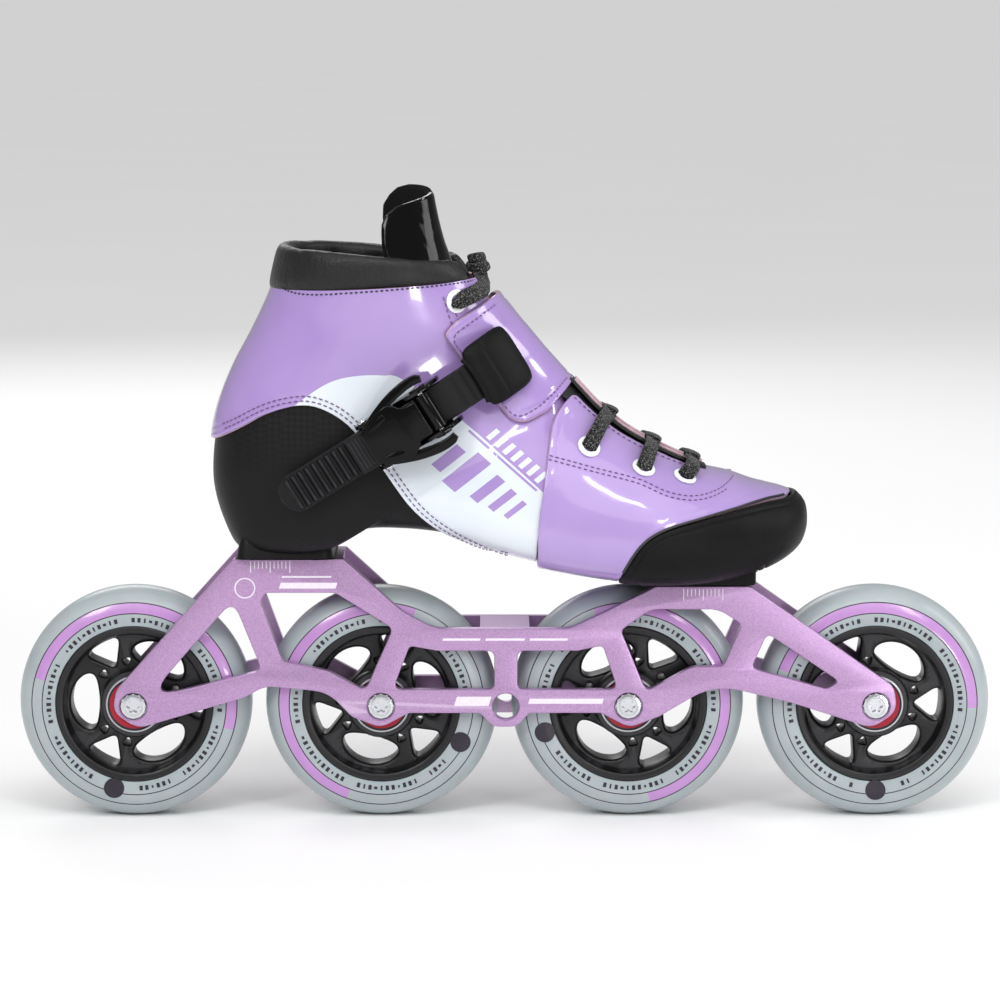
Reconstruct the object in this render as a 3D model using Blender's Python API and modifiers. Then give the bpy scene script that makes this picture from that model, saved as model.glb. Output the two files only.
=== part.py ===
"""An inline skate for the right foot: a boot whose front half slides for size, on a four-wheel frame.

Metres. +X runs to the toe, -Y to the outer side of the foot, +Z up. The origin is on the floor, midway
between the first and the last axle, in the plane of the wheels.
"""

import math

import bmesh
import bpy
from mathutils import Matrix, Vector

MM = 0.001
GAP = 0.3 * MM

# Running gear
WHEELBASE = 286 * MM
WHEEL_COUNT = 4
WHEEL_R = 45 * MM
BEARING_WIDTH = 7 * MM
BEARING_START = 5.1 * MM
TYRE_STEPS = 24
HUB_STEPS = 16
RACE_STEPS = 12

# Frame
FRAME_HALF = 16.5 * MM
CHANNEL_HALF = 13 * MM
REAR_DECK_Z = 102.6 * MM
FRONT_DECK_Z = 91.8 * MM
WHEEL_CLEARANCE_R = WHEEL_R + 1.6 * MM
REAR_MOUNT_X = -89.5 * MM
FRONT_MOUNT_X = 75.5 * MM
SIZE_TRAVEL = 12 * MM

# Boot layers, measured outwards from the boot's reference surface
SHELL = (-2.2 * MM, 0.0)
QUARTER = (0.3 * MM, 1.9 * MM)
VAMP = (2.4 * MM, 4.0 * MM)
TOE_CAP = (2.3 * MM, 4.6 * MM)
LINING = (-5.6 * MM, -3.1 * MM)
COLLAR = (-5.2 * MM, 1.9 * MM)
FOOTBED = (-12.6 * MM, -9.8 * MM)
STRAP = (2.8 * MM, 4.8 * MM)
SOLE = (2.3 * MM, 4.7 * MM)
TUCK = 1.5 * MM
SHELL_TUCK = 0.8 * MM
TUCK_START = 18.5 * MM
TUCK_LENGTH = 6 * MM
COLLAR_END = 1.0
UPPER_START = 1.08

# Ladder strap and buckle: the strap's own direction, where the lever's pin stands, and the strap's bend
STRAP_ANGLE = math.radians(32)
BUCKLE_X = -28 * MM
BUCKLE_Z = 162.5 * MM
LADDER_BEND_START = 2 * MM
LADDER_BEND_R = 42 * MM
LADDER_UNDERSIDE = 36.2 * MM
LADDER_HALF_WIDTH = 7.4 * MM
LADDER_THICKNESS = 1.8 * MM

# The boot's rings in millimetres, from the collar to the toe. Each lies in the plane through its back (or
# bottom) point, its front (or top) point and the Y direction: back x, z, front x, z, half width, where along
# the ring it is widest, and the roundness of the back and of the front end, 2 being an ellipse.
RINGS = (
    (-83.5, 222.5, -17.0, 217.0, 32.5, 0.50, 2.3, 2.3),
    (-88.0, 205.5, -10.5, 209.5, 32.5, 0.50, 2.3, 2.3),
    (-95.0, 190.0, -5.5, 201.0, 32.0, 0.50, 2.3, 2.2),
    (-102.7, 175.5, -1.5, 196.0, 31.5, 0.48, 2.3, 2.2),
    (-108.5, 161.0, 2.0, 191.5, 31.0, 0.46, 2.4, 2.1),
    (-111.5, 147.0, 5.0, 188.0, 30.8, 0.44, 2.5, 2.1),
    (-112.0, 131.0, 7.5, 185.0, 30.8, 0.42, 2.6, 2.1),
    (-108.0, 116.0, 10.0, 182.0, 31.0, 0.42, 2.7, 2.1),
    (-101.5, 105.5, 12.5, 179.0, 31.5, 0.42, 3.0, 2.1),
    (-88.0, 103.5, 17.0, 174.0, 32.0, 0.42, 3.6, 2.1),
    (-70.0, 105.0, 22.0, 168.5, 32.5, 0.42, 3.6, 2.1),
    (-57.0, 113.0, 26.5, 163.5, 33.0, 0.42, 3.4, 2.1),
    (-40.0, 114.0, 31.5, 158.0, 33.5, 0.40, 3.4, 2.1),
    (-22.0, 112.0, 37.5, 152.5, 34.2, 0.38, 3.4, 2.1),
    (-4.0, 107.0, 44.0, 147.5, 35.2, 0.36, 3.4, 2.1),
    (14.0, 102.5, 51.5, 143.0, 36.6, 0.36, 3.4, 2.1),
    (32.0, 99.5, 59.5, 139.0, 37.8, 0.36, 3.4, 2.1),
    (50.0, 97.5, 68.5, 135.0, 38.2, 0.36, 3.4, 2.1),
    (67.0, 97.0, 77.5, 132.0, 37.0, 0.38, 3.4, 2.1),
    (82.0, 98.0, 86.0, 130.0, 34.0, 0.40, 3.2, 2.1),
    (95.0, 100.5, 95.0, 126.8, 29.0, 0.42, 3.0, 2.1),
    (104.0, 103.8, 104.0, 124.6, 23.0, 0.45, 2.6, 2.1),
    (110.0, 108.0, 110.0, 122.4, 15.0, 0.50, 2.4, 2.2),
    (112.3, 112.5, 112.4, 119.5, 6.0, 0.50, 2.2, 2.2),
)
TOE_SHIFT = 5 * MM
TOE_SHIFT_START = 45 * MM
TOE_SHIFT_LENGTH = 70 * MM
RING_SIDES = 20
REAR_LACE_RING = 1.25


# ---------------------------------------------------------------- scene, materials and small helpers


def clear_scene():
    for obj in list(bpy.data.objects):
        bpy.data.objects.remove(obj, do_unlink=True)


def make_collection(name):
    collection = bpy.data.collections.new(name)
    bpy.context.scene.collection.children.link(collection)
    return collection


def make_material(name, colour, roughness, metallic=0.0):
    material = bpy.data.materials.new(name)
    material.use_nodes = True
    shader = material.node_tree.nodes["Principled BSDF"]
    shader.inputs["Base Color"].default_value = (*colour, 1.0)
    shader.inputs["Roughness"].default_value = roughness
    shader.inputs["Metallic"].default_value = metallic
    material.diffuse_color = (*colour, 1.0)
    return material


def add_object(name, mesh, material, location=(0, 0, 0), rotation=(0, 0, 0)):
    obj = bpy.data.objects.new(name, mesh)
    PARTS.objects.link(obj)
    obj.location = location
    obj.rotation_euler = rotation
    if material and not mesh.materials:
        mesh.materials.append(material)
    return obj


def as_cutter(obj):
    PARTS.objects.unlink(obj)
    CUTTERS.objects.link(obj)
    obj.hide_render = True
    obj.display_type = "WIRE"
    return obj


def mesh_of(points, faces, name):
    mesh = bpy.data.meshes.new(name)
    mesh.from_pydata(points, [], faces)
    return mesh


def smooth(mesh, angle=35):
    mesh.shade_smooth()
    mesh.set_sharp_from_angle(angle=math.radians(angle))


def freeze(obj):
    """Replaces an object's data with its evaluated mesh, so that it can be cut, joined or used as a cutter."""
    bpy.context.view_layer.update()
    graph = bpy.context.evaluated_depsgraph_get()
    mesh = bpy.data.meshes.new_from_object(obj.evaluated_get(graph))
    shape = bmesh.new()
    shape.from_mesh(mesh)
    bmesh.ops.remove_doubles(shape, verts=shape.verts, dist=1e-6)
    bmesh.ops.recalc_face_normals(shape, faces=shape.faces)
    shape.to_mesh(mesh)
    shape.free()
    name = obj.name
    frozen = bpy.data.objects.new(name + "_mesh", mesh)
    frozen.matrix_world = obj.matrix_world.copy()
    for collection in obj.users_collection:
        collection.objects.link(frozen)
    frozen.hide_render = obj.hide_render
    frozen.display_type = obj.display_type
    bpy.data.objects.remove(obj, do_unlink=True)
    frozen.name = name
    return frozen


def combine(obj, other, operation, solver="EXACT"):
    """Adds a Boolean modifier. The other object becomes a hidden cutter."""
    if other.name in PARTS.objects:
        as_cutter(other)
    modifier = obj.modifiers.new(operation.title(), "BOOLEAN")
    modifier.operation = operation
    modifier.object = other
    modifier.solver = solver
    return modifier


def carve(obj, other, operation):
    """The same for the boot's layers, whose long thin cuts the EXACT solver leaves open."""
    return combine(obj, other, operation, "MANIFOLD")


def join_meshes(name, objects):
    """One object that holds the bodies of several, which must not overlap."""
    shape = bmesh.new()
    for obj in objects:
        bpy.context.view_layer.update()
        mesh = obj.data.copy()
        mesh.transform(obj.matrix_world)
        shape.from_mesh(mesh)
        bpy.data.meshes.remove(mesh)
        bpy.data.objects.remove(obj, do_unlink=True)
    joined = bpy.data.meshes.new(name)
    shape.to_mesh(joined)
    shape.free()
    return add_object(name, joined, None)


# ---------------------------------------------------------------- outlines


def rounded(corners, segments=2):
    """A polygon's points with its corners rounded. A corner is (x, z, radius), all in millimetres."""
    points = []
    count = len(corners)
    for i, (x, z, radius) in enumerate(corners):
        here = Vector((x, z))
        before = Vector(corners[i - 1][:2]) - here
        after = Vector(corners[(i + 1) % count][:2]) - here
        if radius <= 0:
            points.append(here)
            continue
        half_turn = before.angle(after) / 2
        reach = min(radius / math.tan(half_turn), 0.49 * before.length, 0.49 * after.length)
        start = here + before.normalized() * reach
        end = here + after.normalized() * reach
        for k in range(segments + 1):
            t = k / segments
            points.append(start.lerp(here, t).lerp(here.lerp(end, t), t))
    return points


def circle(x, z, radius, sides):
    turn = 2 * math.pi / sides
    return [Vector((x + radius * math.cos(k * turn), z + radius * math.sin(k * turn))) for k in range(sides)]


def spline_points(points, per_span=3):
    """A smooth curve through points of any length, Catmull-Rom, its ends straight."""
    points = [Vector(point) for point in points]
    padded = [2 * points[0] - points[1], *points, 2 * points[-1] - points[-2]]
    curve = []
    for a, b, c, d in zip(padded, padded[1:], padded[2:], padded[3:]):
        for k in range(per_span):
            curve.append(catmull_rom(a, b, c, d, k / per_span))
    return [*curve, points[-1]]


def catmull_rom(a, b, c, d, t):
    return 0.5 * (2 * b + (c - a) * t + (2 * a - 5 * b + 4 * c - d) * t**2 + (3 * b - a - 3 * c + d) * t**3)


def plate(name, outlines, half_thickness, material=None, y=0.0):
    """A flat plate in the XZ plane: the first outline is its edge, the others are holes, in millimetres."""
    curve = bpy.data.curves.new(name, "CURVE")
    curve.dimensions = "2D"
    curve.fill_mode = "BOTH"
    curve.extrude = half_thickness
    for outline in outlines:
        spline = curve.splines.new("POLY")
        spline.points.add(len(outline) - 1)
        for point, (x, z) in zip(spline.points, outline):
            point.co = (x * MM, z * MM, 0, 1)
        spline.use_cyclic_u = True
    obj = add_object(name, curve, material, (0, y, 0), (math.pi / 2, 0, 0))
    return freeze(obj)


def turned(name, profile, steps, material=None, location=(0, 0, 0), closed=False):
    """A turned piece on the Y axis: the profile is (radius, distance to the outer side) in millimetres."""
    points = [(radius * MM, 0, along * MM) for radius, along in profile]
    edges = [(k, k + 1) for k in range(len(points) - 1)]
    if closed:
        edges.append((len(points) - 1, 0))
    mesh = bpy.data.meshes.new(name)
    mesh.from_pydata(points, edges, [])
    obj = add_object(name, mesh, material, location, (math.pi / 2, 0, 0))
    screw = obj.modifiers.new("Turn", "SCREW")
    screw.steps = steps
    screw.render_steps = steps
    screw.use_merge_vertices = True
    screw.merge_threshold = 1e-5
    return obj


def box(name, low, high, material=None):
    """A box between two corners, in millimetres."""
    shape = bmesh.new()
    bmesh.ops.create_cube(shape, size=1.0)
    low, high = Vector(low), Vector(high)
    for vertex in shape.verts:
        vertex.co = Vector([(low[k] + (vertex.co[k] + 0.5) * (high[k] - low[k])) * MM for k in range(3)])
    mesh = bpy.data.meshes.new(name)
    shape.to_mesh(mesh)
    shape.free()
    return add_object(name, mesh, material)


def upright_cylinder(name, x, y, low, high, radius, sides, material=None):
    """A vertical cylinder, in millimetres."""
    shape = bmesh.new()
    bmesh.ops.create_cone(
        shape,
        cap_ends=True,
        segments=sides,
        radius1=radius * MM,
        radius2=radius * MM,
        depth=(high - low) * MM,
    )
    mesh = bpy.data.meshes.new(name)
    shape.to_mesh(mesh)
    shape.free()
    return add_object(name, mesh, material, (x * MM, y * MM, (low + high) / 2 * MM))


# ---------------------------------------------------------------- wheels


def axle_positions():
    spacing = WHEELBASE / (WHEEL_COUNT - 1)
    return [-WHEELBASE / 2 + k * spacing for k in range(WHEEL_COUNT)]


def hub_profile():
    half = [(30.3, 11), (30.3, -11), (27.2, -11), (26.0, -6.5), (14, -6.5), (12.8, -11.6), (11.3, -11.6)]
    half += [(11.3, -4.8), (9.2, -4.8)]
    mirrored = [(radius, -along) for radius, along in reversed(half[2:])]
    return half + mirrored


def tyre_profile():
    side = [(30.6, 11.0), (36, 11.7), (40.5, 9.8), (43.5, 6.3), (45, 2.0)]
    return side + [(radius, -along) for radius, along in reversed(side)]


def long_oval(radius, reach, half_angle, count=12):
    """An oval bent round the hub's axis, from its middle radius, its radial reach and its half angle."""
    points = []
    for k in range(count):
        turn = 2 * math.pi * k / count
        bend = half_angle * math.sin(turn)
        out = radius + reach * math.cos(turn)
        points.append((out * math.cos(bend), out * math.sin(bend)))
    return points


def hub_windows(name):
    """The openings between the spokes: three long ovals, three rounded triangles, and a small hole on either
    side of each triangle's inner corner."""
    pieces = []
    oval = long_oval(19.5, 5.3, math.radians(32))
    triangle = [(p.x, p.y) for p in rounded([(25.2, 7.5, 2), (25.2, -7.5, 2), (15.1, 0, 1.5)], 1)]
    hole = [(17.3, 1.9), (17.3, -1.9), (14.2, 0)]
    for k in range(3):
        turn = 120 * k + 60
        for outline, angle in ((oval, turn), (triangle, turn + 60), (hole, turn + 41.5), (hole, turn - 41.5)):
            cos, sin = math.cos(math.radians(angle)), math.sin(math.radians(angle))
            points = [(x * cos - z * sin, x * sin + z * cos) for x, z in outline]
            pieces.append(plate(f"{name}_{len(pieces)}", [points], 15 * MM))
    return as_cutter(join_meshes(name, pieces))


def add_bearing(number, side, x, steel, seal):
    """One 608 bearing: the outer race with its seal, which turns with the hub, and the inner race."""
    start = BEARING_START / MM
    end = start + BEARING_WIDTH / MM
    where = "outer" if side < 0 else "inner"
    outer = [(11, end), (11, start), (9, start), (9, end - 1.3), (6.3, end - 1.3), (6.3, end - 0.4)]
    outer += [(9.3, end - 0.4)]
    inner = [(5.9, end), (5.9, start), (4.0, start), (4.0, end)]
    for name, profile, material in (("race", outer, seal), ("inner_race", inner, steel)):
        piece = turned(f"wheel_{number}_{where}_bearing_{name}", profile, RACE_STEPS, material, closed=True)
        piece.location = (x, 0, WHEEL_R)
        if side > 0:
            piece.rotation_euler = (-math.pi / 2, 0, 0)


def add_wheel(number, x, window_turn, paint):
    centre = (x, 0, WHEEL_R)
    turned(f"wheel_{number}_tyre", tyre_profile(), TYRE_STEPS, paint["tyre"], centre, closed=True)
    hub = turned(f"wheel_{number}_hub", hub_profile(), HUB_STEPS, paint["hub"], centre, closed=True)
    windows = hub_windows(f"wheel_{number}_windows")
    windows.location = centre
    windows.rotation_euler = (0, -math.radians(window_turn), 0)
    combine(hub, windows, "DIFFERENCE")
    for side in (-1, 1):
        add_bearing(number, side, x, paint["steel"], paint["seal"])
    spacer = [(5.8, 4.8), (5.8, -4.8), (4.0, -4.8), (4.0, 4.8)]
    turned(f"wheel_{number}_spacer", spacer, RACE_STEPS, paint["alloy"], centre, closed=True)
    axle = [(0, 16.2), (4.6, 16.2), (4.9, 15.9), (4.9, 12.45), (3.65, 12.45), (3.65, -15.9), (3.2, -16.4), (0, -16.4)]
    turned(f"wheel_{number}_axle", axle, RACE_STEPS, paint["steel"], centre)


# ---------------------------------------------------------------- frame


def frame_outline():
    """The frame's side view: two decks, a low middle, four bosses and the arches between them."""
    corners = [
        (-103.7, 102.6, 1), (-61.7, 102.6, 1), (-39.4, 82.1, 30), (-27, 75.5, 14), (25, 75.5, 10),
        (40, 82.6, 20), (57.9, 91.8, 2), (93.9, 91.8, 4), (149.9, 52.5, 7), (151.2, 43, 7.5),
        (141.6, 36.3, 9), (110, 46.5, 10), (80.5, 53.6, 26), (59.5, 41, 6), (48, 36.6, 8), (37, 42.4, 3),
        (9.5, 42.4, 2), (4.5, 37, 6), (-4.5, 37, 6), (-9.5, 42.4, 2), (-37, 42.4, 3), (-47.7, 36.6, 8),
        (-59, 41, 6), (-68, 50.6, 16), (-92, 53, 12), (-100, 48.6, 8), (-141.5, 36.3, 9),
        (-151, 43, 7.5), (-149.5, 51.5, 7),
    ]
    return rounded(corners)


def frame_windows():
    triangle = [(-104.2, 86.5, 3), (-93.4, 59.2, 2.5), (-138, 47.9, 3.3)]
    rear_arch = [
        (-91.8, 89.3, 2), (-65, 89.3, 6), (-43, 75.4, 3), (-53.6, 51.2, 3), (-68, 59, 10), (-85.4, 62.8, 3),
        (-93.8, 86, 2),
    ]
    rear_slot = [(-36.5, 68.6, 2), (-26, 66.7, 3), (-4, 66.7, 3), (-4, 51.7, 2.5), (-43, 51.7, 2.5)]
    front_slot = [(4.9, 66.7, 3), (28, 66.7, 3), (37.6, 68.7, 2), (43.4, 51.7, 2.5), (4.9, 51.7, 2.5)]
    front_arch = [
        (44.6, 74.6, 2.5), (56, 82.8, 10), (82, 82.8, 12), (91, 77, 2.5), (84, 60.6, 3), (72, 60.6, 10),
        (54.3, 50.8, 3),
    ]
    front_triangle = [(100.8, 73.5, 2.5), (128.8, 54.6, 2.5), (123.8, 51.8, 2), (94.8, 59.8, 2.5)]
    return [rounded(corners) for corners in (triangle, rear_arch, rear_slot, front_slot, front_arch, front_triangle)]


def channel_cutter():
    """The space between the frame's walls. It leaves the two decks and, over the centre, one cross bridge."""
    low, high = 25, 120
    outline = [
        (-160, low), (160, low), (160, high), (93.5, high), (93.5, 87.2), (64, 87.2), (64, high),
        (9.5, high), (9.5, 71.5), (-9.5, 71.5), (-9.5, high), (-62, high), (-62, 97.4), (-103, 97.4),
        (-103, high), (-160, high),
    ]
    return as_cutter(plate("channel_cutter", [outline], CHANNEL_HALF))


def wheel_space_cutter(x, number):
    """Room for a wheel beneath the front deck and beside the bridge."""
    rim = WHEEL_CLEARANCE_R / MM
    outline = circle(x / MM, WHEEL_R / MM, rim, 28)
    return as_cutter(plate(f"wheel_space_{number}", [outline], CHANNEL_HALF - 0.02 * MM))


def frame_bosses():
    pieces = []
    for k, x in enumerate(axle_positions()):
        for side in (-1, 1):
            profile = [(0, 1.6), (6.2, 1.6), (6.2, -0.5), (0, -0.5)]
            if side > 0:
                profile = [(radius, -along) for radius, along in reversed(profile)]
            boss = turned(f"boss_{k}_{side}", profile, RACE_STEPS, None, (x, side * CHANNEL_HALF, WHEEL_R))
            pieces.append(freeze(boss))
    return as_cutter(join_meshes("frame_bosses", pieces))


def axle_hole_cutter():
    pieces = []
    places = [(x, 5.2) for x in axle_positions()] + [(0.4 * MM, 5.0)]
    for k, (x, radius) in enumerate(places):
        profile = [(0, 18), (radius, 18), (radius, 8), (4.0, 8), (4.0, -18), (0, -18)]
        pieces.append(freeze(turned(f"axle_hole_{k}", profile, RACE_STEPS, None, (x, 0, WHEEL_R))))
    return as_cutter(join_meshes("axle_holes", pieces))


def slot_cutter(name, x_low, x_high, y_half, radius, low, high):
    """A vertical slot through a deck, longer along X or along Y, in millimetres."""
    corners = [
        (x_low - radius, -y_half - radius, radius), (x_high + radius, -y_half - radius, radius),
        (x_high + radius, y_half + radius, radius), (x_low - radius, y_half + radius, radius),
    ]
    outline = rounded(corners, 4)
    count = len(outline)
    points = [(p.x * MM, p.y * MM, low * MM) for p in outline] + [(p.x * MM, p.y * MM, high * MM) for p in outline]
    faces = [tuple(reversed(range(count))), tuple(range(count, 2 * count))]
    faces += [(k, (k + 1) % count, count + (k + 1) % count, count + k) for k in range(count)]
    return as_cutter(add_object(name, mesh_of(points, faces, name), None))


def add_frame(paint):
    frame = plate("frame", [frame_outline(), *frame_windows()], FRAME_HALF, paint["frame"])
    combine(frame, channel_cutter(), "DIFFERENCE", "MANIFOLD")
    combine(frame, wheel_space_cutter(axle_positions()[2], 3), "DIFFERENCE")
    combine(frame, frame_bosses(), "UNION")
    combine(frame, axle_hole_cutter(), "DIFFERENCE")
    rear = slot_cutter("rear_slot_cutter", REAR_MOUNT_X / MM, REAR_MOUNT_X / MM, 4, 3.4, 95, 106)
    combine(frame, rear, "DIFFERENCE", "MANIFOLD")
    front_x = FRONT_MOUNT_X / MM
    front = slot_cutter("front_slot_cutter", front_x, front_x + SIZE_TRAVEL / MM, 0.01, 3.4, 80, 95)
    combine(frame, front, "DIFFERENCE", "MANIFOLD")
    return frame


def add_mounting(name, x, deck_top, deck_bottom, insert_height, paint):
    """A mounting bolt from beneath the deck, its washer, and the threaded insert in the sole."""
    head = 1.8
    washer = 0.5
    x, top = x / MM, deck_top / MM
    bottom = deck_bottom - GAP / MM
    ring = [(5.2, 0.5 * washer), (5.2, -0.5 * washer), (3.4, -0.5 * washer), (3.4, 0.5 * washer)]
    piece = turned(f"{name}_mount_washer", ring, RACE_STEPS, paint["steel"], closed=True)
    piece.location = (x * MM, 0, (bottom - 0.5 * washer) * MM)
    piece.rotation_euler = (0, 0, 0)
    under = bottom - washer - GAP / MM
    shaft_top = top + insert_height - 1.6
    bolt = [(0, shaft_top), (3.1, shaft_top), (3.1, under), (4.3, under), (4.3, under - head), (0, under - head)]
    piece = turned(f"{name}_mount_bolt", bolt, RACE_STEPS, paint["steel"])
    piece.location = (x * MM, 0, 0)
    piece.rotation_euler = (0, 0, 0)
    low = top + GAP / MM
    insert = [
        (5.6, top + insert_height), (5.6, low), (3.4, low), (3.4, top + insert_height - 1.2),
        (0, top + insert_height - 1.2),
    ]
    profile = [(0, top + insert_height), *insert]
    piece = turned(f"{name}_threaded_insert", profile, RACE_STEPS, paint["alloy"])
    piece.location = (x * MM, 0, 0)
    piece.rotation_euler = (0, 0, 0)


# ---------------------------------------------------------------- the boot's surface


def ring_values(u):
    """The ring at u, which counts along RINGS, with the values between two rings on a smooth curve."""
    u = min(max(u, 0.0), len(RINGS) - 1.0)
    k = min(int(u), len(RINGS) - 2)
    last = len(RINGS) - 1
    rows = [RINGS[max(k - 1, 0)], RINGS[k], RINGS[k + 1], RINGS[min(k + 2, last)]]
    return [catmull_rom(*values, u - k) for values in zip(*rows)]


def raw_surface(u, v):
    """A point of the reference surface. v runs from the top line (-1) down the outer side to the bottom
    line (0) and up the inner side to the top line again (1)."""
    back_x, back_z, front_x, front_z, half, widest, back_round, front_round = ring_values(u)
    angle = abs(v) * math.pi
    if angle < math.pi / 2:
        along = widest * (1 - max(math.cos(angle), 0.0) ** (2 / back_round))
        out = math.sin(angle) ** (2 / back_round)
    else:
        along = widest + (1 - widest) * max(-math.cos(angle), 0.0) ** (2 / front_round)
        out = max(math.sin(angle), 0.0) ** (2 / front_round)
    x = back_x + (front_x - back_x) * along
    z = back_z + (front_z - back_z) * along
    reach = min(max((x * MM - TOE_SHIFT_START) / TOE_SHIFT_LENGTH, 0.0), 1.0)
    y = math.copysign(half * out, v) * MM + TOE_SHIFT * reach * reach * (3 - 2 * reach)
    return Vector((x * MM, y, z * MM))


def boot_point(u, v, offset):
    """A point at a distance outwards from the reference surface."""
    step_u, step_v = 0.05, 0.02
    along = raw_surface(u + step_u, v) - raw_surface(u - step_u, v)
    low, high = v - step_v, v + step_v
    low = low + 2 if low < -1 else low
    high = high - 2 if high > 1 else high
    around = raw_surface(u, high) - raw_surface(u, low)
    return raw_surface(u, v) + along.cross(around).normalized() * -offset


def tucked_point(u, v, offset, depth=TUCK):
    """The same, drawn in from where the sliding front half begins, so that it clears it all the way."""
    reach = min(max((raw_surface(u, v).x - TUCK_START) / TUCK_LENGTH, 0.0), 1.0)
    return boot_point(u, v, offset - depth * reach)


def shell_point(u, v, offset):
    return tucked_point(u, v, offset, SHELL_TUCK)


def boot_skin(name, layer, first, last, material=None, point_of=boot_point):
    """A closed sock between two offsets of the boot's surface, open at its first ring. Every sock uses the
    same rings in between, so that the facets of one layer lie over those of the next."""
    inner, outer = layer
    points = []
    faces = []
    sides = RING_SIDES
    us = [first, *range(math.floor(first) + 1, math.ceil(last)), last]
    rings = len(us)
    for offset in (outer, inner):
        for u in us:
            points += [point_of(u, -1 + 2 * j / sides, offset) for j in range(sides)]
        points.append(sum((Vector(point) for point in points[-sides:]), Vector()) / sides)
    shift = rings * sides + 1
    for k in range(rings - 1):
        for j in range(sides):
            a, b = k * sides + j, k * sides + (j + 1) % sides
            faces.append((a, b, b + sides, a + sides))
            faces.append((shift + b, shift + a, shift + a + sides, shift + b + sides))
    for j in range(sides):
        a, b = j, (j + 1) % sides
        faces.append((b, a, shift + a, shift + b))
        tip = (rings - 1) * sides
        faces.append((tip + a, tip + b, rings * sides))
        faces.append((shift + tip + b, shift + tip + a, shift + rings * sides))
    obj = add_object(name, mesh_of([tuple(p) for p in points], faces, name), material)
    face_out(obj.data)
    smooth(obj.data)
    return obj


def lower_edge(rise=0.0):
    """The upper's lower edge over the heel shell, in side view, millimetres, from the heel to the sole."""
    points = [
        (-122, 144), (-112, 148.5), (-100, 154.6), (-89.5, 160.2), (-75, 163.4), (-62.6, 158.6), (-53, 149),
        (-45.5, 138.3), (-35.9, 125), (-26.4, 116), (-14, 108), (0, 101.5), (14, 96), (30, 88),
    ]
    return [(x, z + rise) for x, z in spline_points(points, 2)]


def toe_cap_edge():
    points = [
        (118, 128.5), (109, 125.9), (100, 125.2), (88, 123.2), (74.1, 120.2), (59.6, 116.2), (51, 110), (44.2, 98),
        (42, 88),
    ]
    return [(x, z) for x, z in spline_points(points, 2)]


def throat_cutter(name, top_half, middle_half, end_half, length, depth=24):
    """The opening in front of the tongue: a slot down the instep, seen square to the instep."""
    corners = [
        (-30, -top_half - 4, 2), (20, -middle_half - 2, 6), (length - 30, -middle_half, 6), (length, -end_half, 5),
        (length + 4, 0, 4), (length, end_half, 5), (length - 30, middle_half, 6), (20, middle_half + 2, 6),
        (-30, top_half + 4, 2),
    ]
    outline = rounded(corners)
    start, end = Vector((-17, 0, 217)), Vector((77.5, 0, 131.5))
    down = (end - start).normalized()
    up = Vector((-down.z, 0, down.x))
    if up.z < 0:
        up.negate()
    count = len(outline)
    points = []
    for height in (-depth, 26):
        points += [(start + down * p.x + Vector((0, p.y, 0)) + up * height) * MM for p in outline]
    faces = [tuple(range(count)), tuple(reversed(range(count, 2 * count)))]
    faces += [(k, count + k, count + (k + 1) % count, (k + 1) % count) for k in range(count)]
    cutter = add_object(name, mesh_of([tuple(p) for p in points], faces, name), None)
    face_out(cutter.data)
    return as_cutter(cutter)


def side_region(name, outline, half=75 * MM, y=0.0):
    return as_cutter(plate(name, [outline], half, None, y))


def boot_patch(name, layer, u_range, v_range, counts, material=None):
    """A closed slab of the boot's surface between two offsets, over a range of rings and a range round them."""
    rows, columns = counts
    inner, outer = layer
    points = []
    for offset in (outer, inner):
        for i in range(rows):
            u = u_range[0] + (u_range[1] - u_range[0]) * i / (rows - 1)
            for j in range(columns):
                v = v_range[0] + (v_range[1] - v_range[0]) * j / (columns - 1)
                points.append(tuple(boot_point(u, v, offset)))
    return slab(name, points, rows, columns, material)


def slab(name, points, rows, columns, material=None):
    """A closed solid from two grids of points, the upper one first, joined round their edges."""
    size = rows * columns
    faces = []
    for i in range(rows - 1):
        for j in range(columns - 1):
            a = i * columns + j
            quad = (a, a + 1, a + columns + 1, a + columns)
            faces.append(quad)
            faces.append(tuple(size + k for k in reversed(quad)))
    rim = [j for j in range(columns)]
    rim += [i * columns + columns - 1 for i in range(1, rows)]
    rim += [(rows - 1) * columns + j for j in range(columns - 2, -1, -1)]
    rim += [i * columns for i in range(rows - 2, 0, -1)]
    for a, b in zip(rim, rim[1:] + rim[:1]):
        faces.append((b, a, size + a, size + b))
    obj = add_object(name, mesh_of(points, faces, name), material)
    face_out(obj.data)
    return obj


def face_out(mesh):
    shape = bmesh.new()
    shape.from_mesh(mesh)
    bmesh.ops.recalc_face_normals(shape, faces=shape.faces)
    shape.to_mesh(mesh)
    shape.free()


# ---------------------------------------------------------------- boot, rear half


def add_heel_shell(paint):
    shell = boot_skin("heel_shell", SHELL, 3, 22.9, paint["carbon"], shell_point)
    outline = [(-125, 85), *lower_edge(8)[:-4], (8, 112), (41, 108), (41, 85)]
    carve(shell, side_region("heel_shell_region", outline), "INTERSECT")
    base = box("heel_base", (-100, -21, REAR_DECK_Z / MM + 0.3), (-66, 21, 112))
    carve(shell, base, "UNION")
    hole = upright_cylinder("heel_insert_hole", REAR_MOUNT_X / MM, 0, 95, 111.2, 5.9, RACE_STEPS)
    carve(shell, as_cutter(hole), "DIFFERENCE")


def add_quarter(paint):
    quarter = boot_skin("upper_quarter", QUARTER, UPPER_START, 22.9, paint["lilac"], tucked_point)
    outline = [*lower_edge()[:-4], (11.5, 97), (12.5, 114), (39, 114), (48, 160), (40, 250), (-130, 250)]
    carve(quarter, side_region("quarter_region", outline), "INTERSECT")
    carve(quarter, throat_cutter("quarter_throat", 15, 10, 8, 118), "DIFFERENCE")


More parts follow.
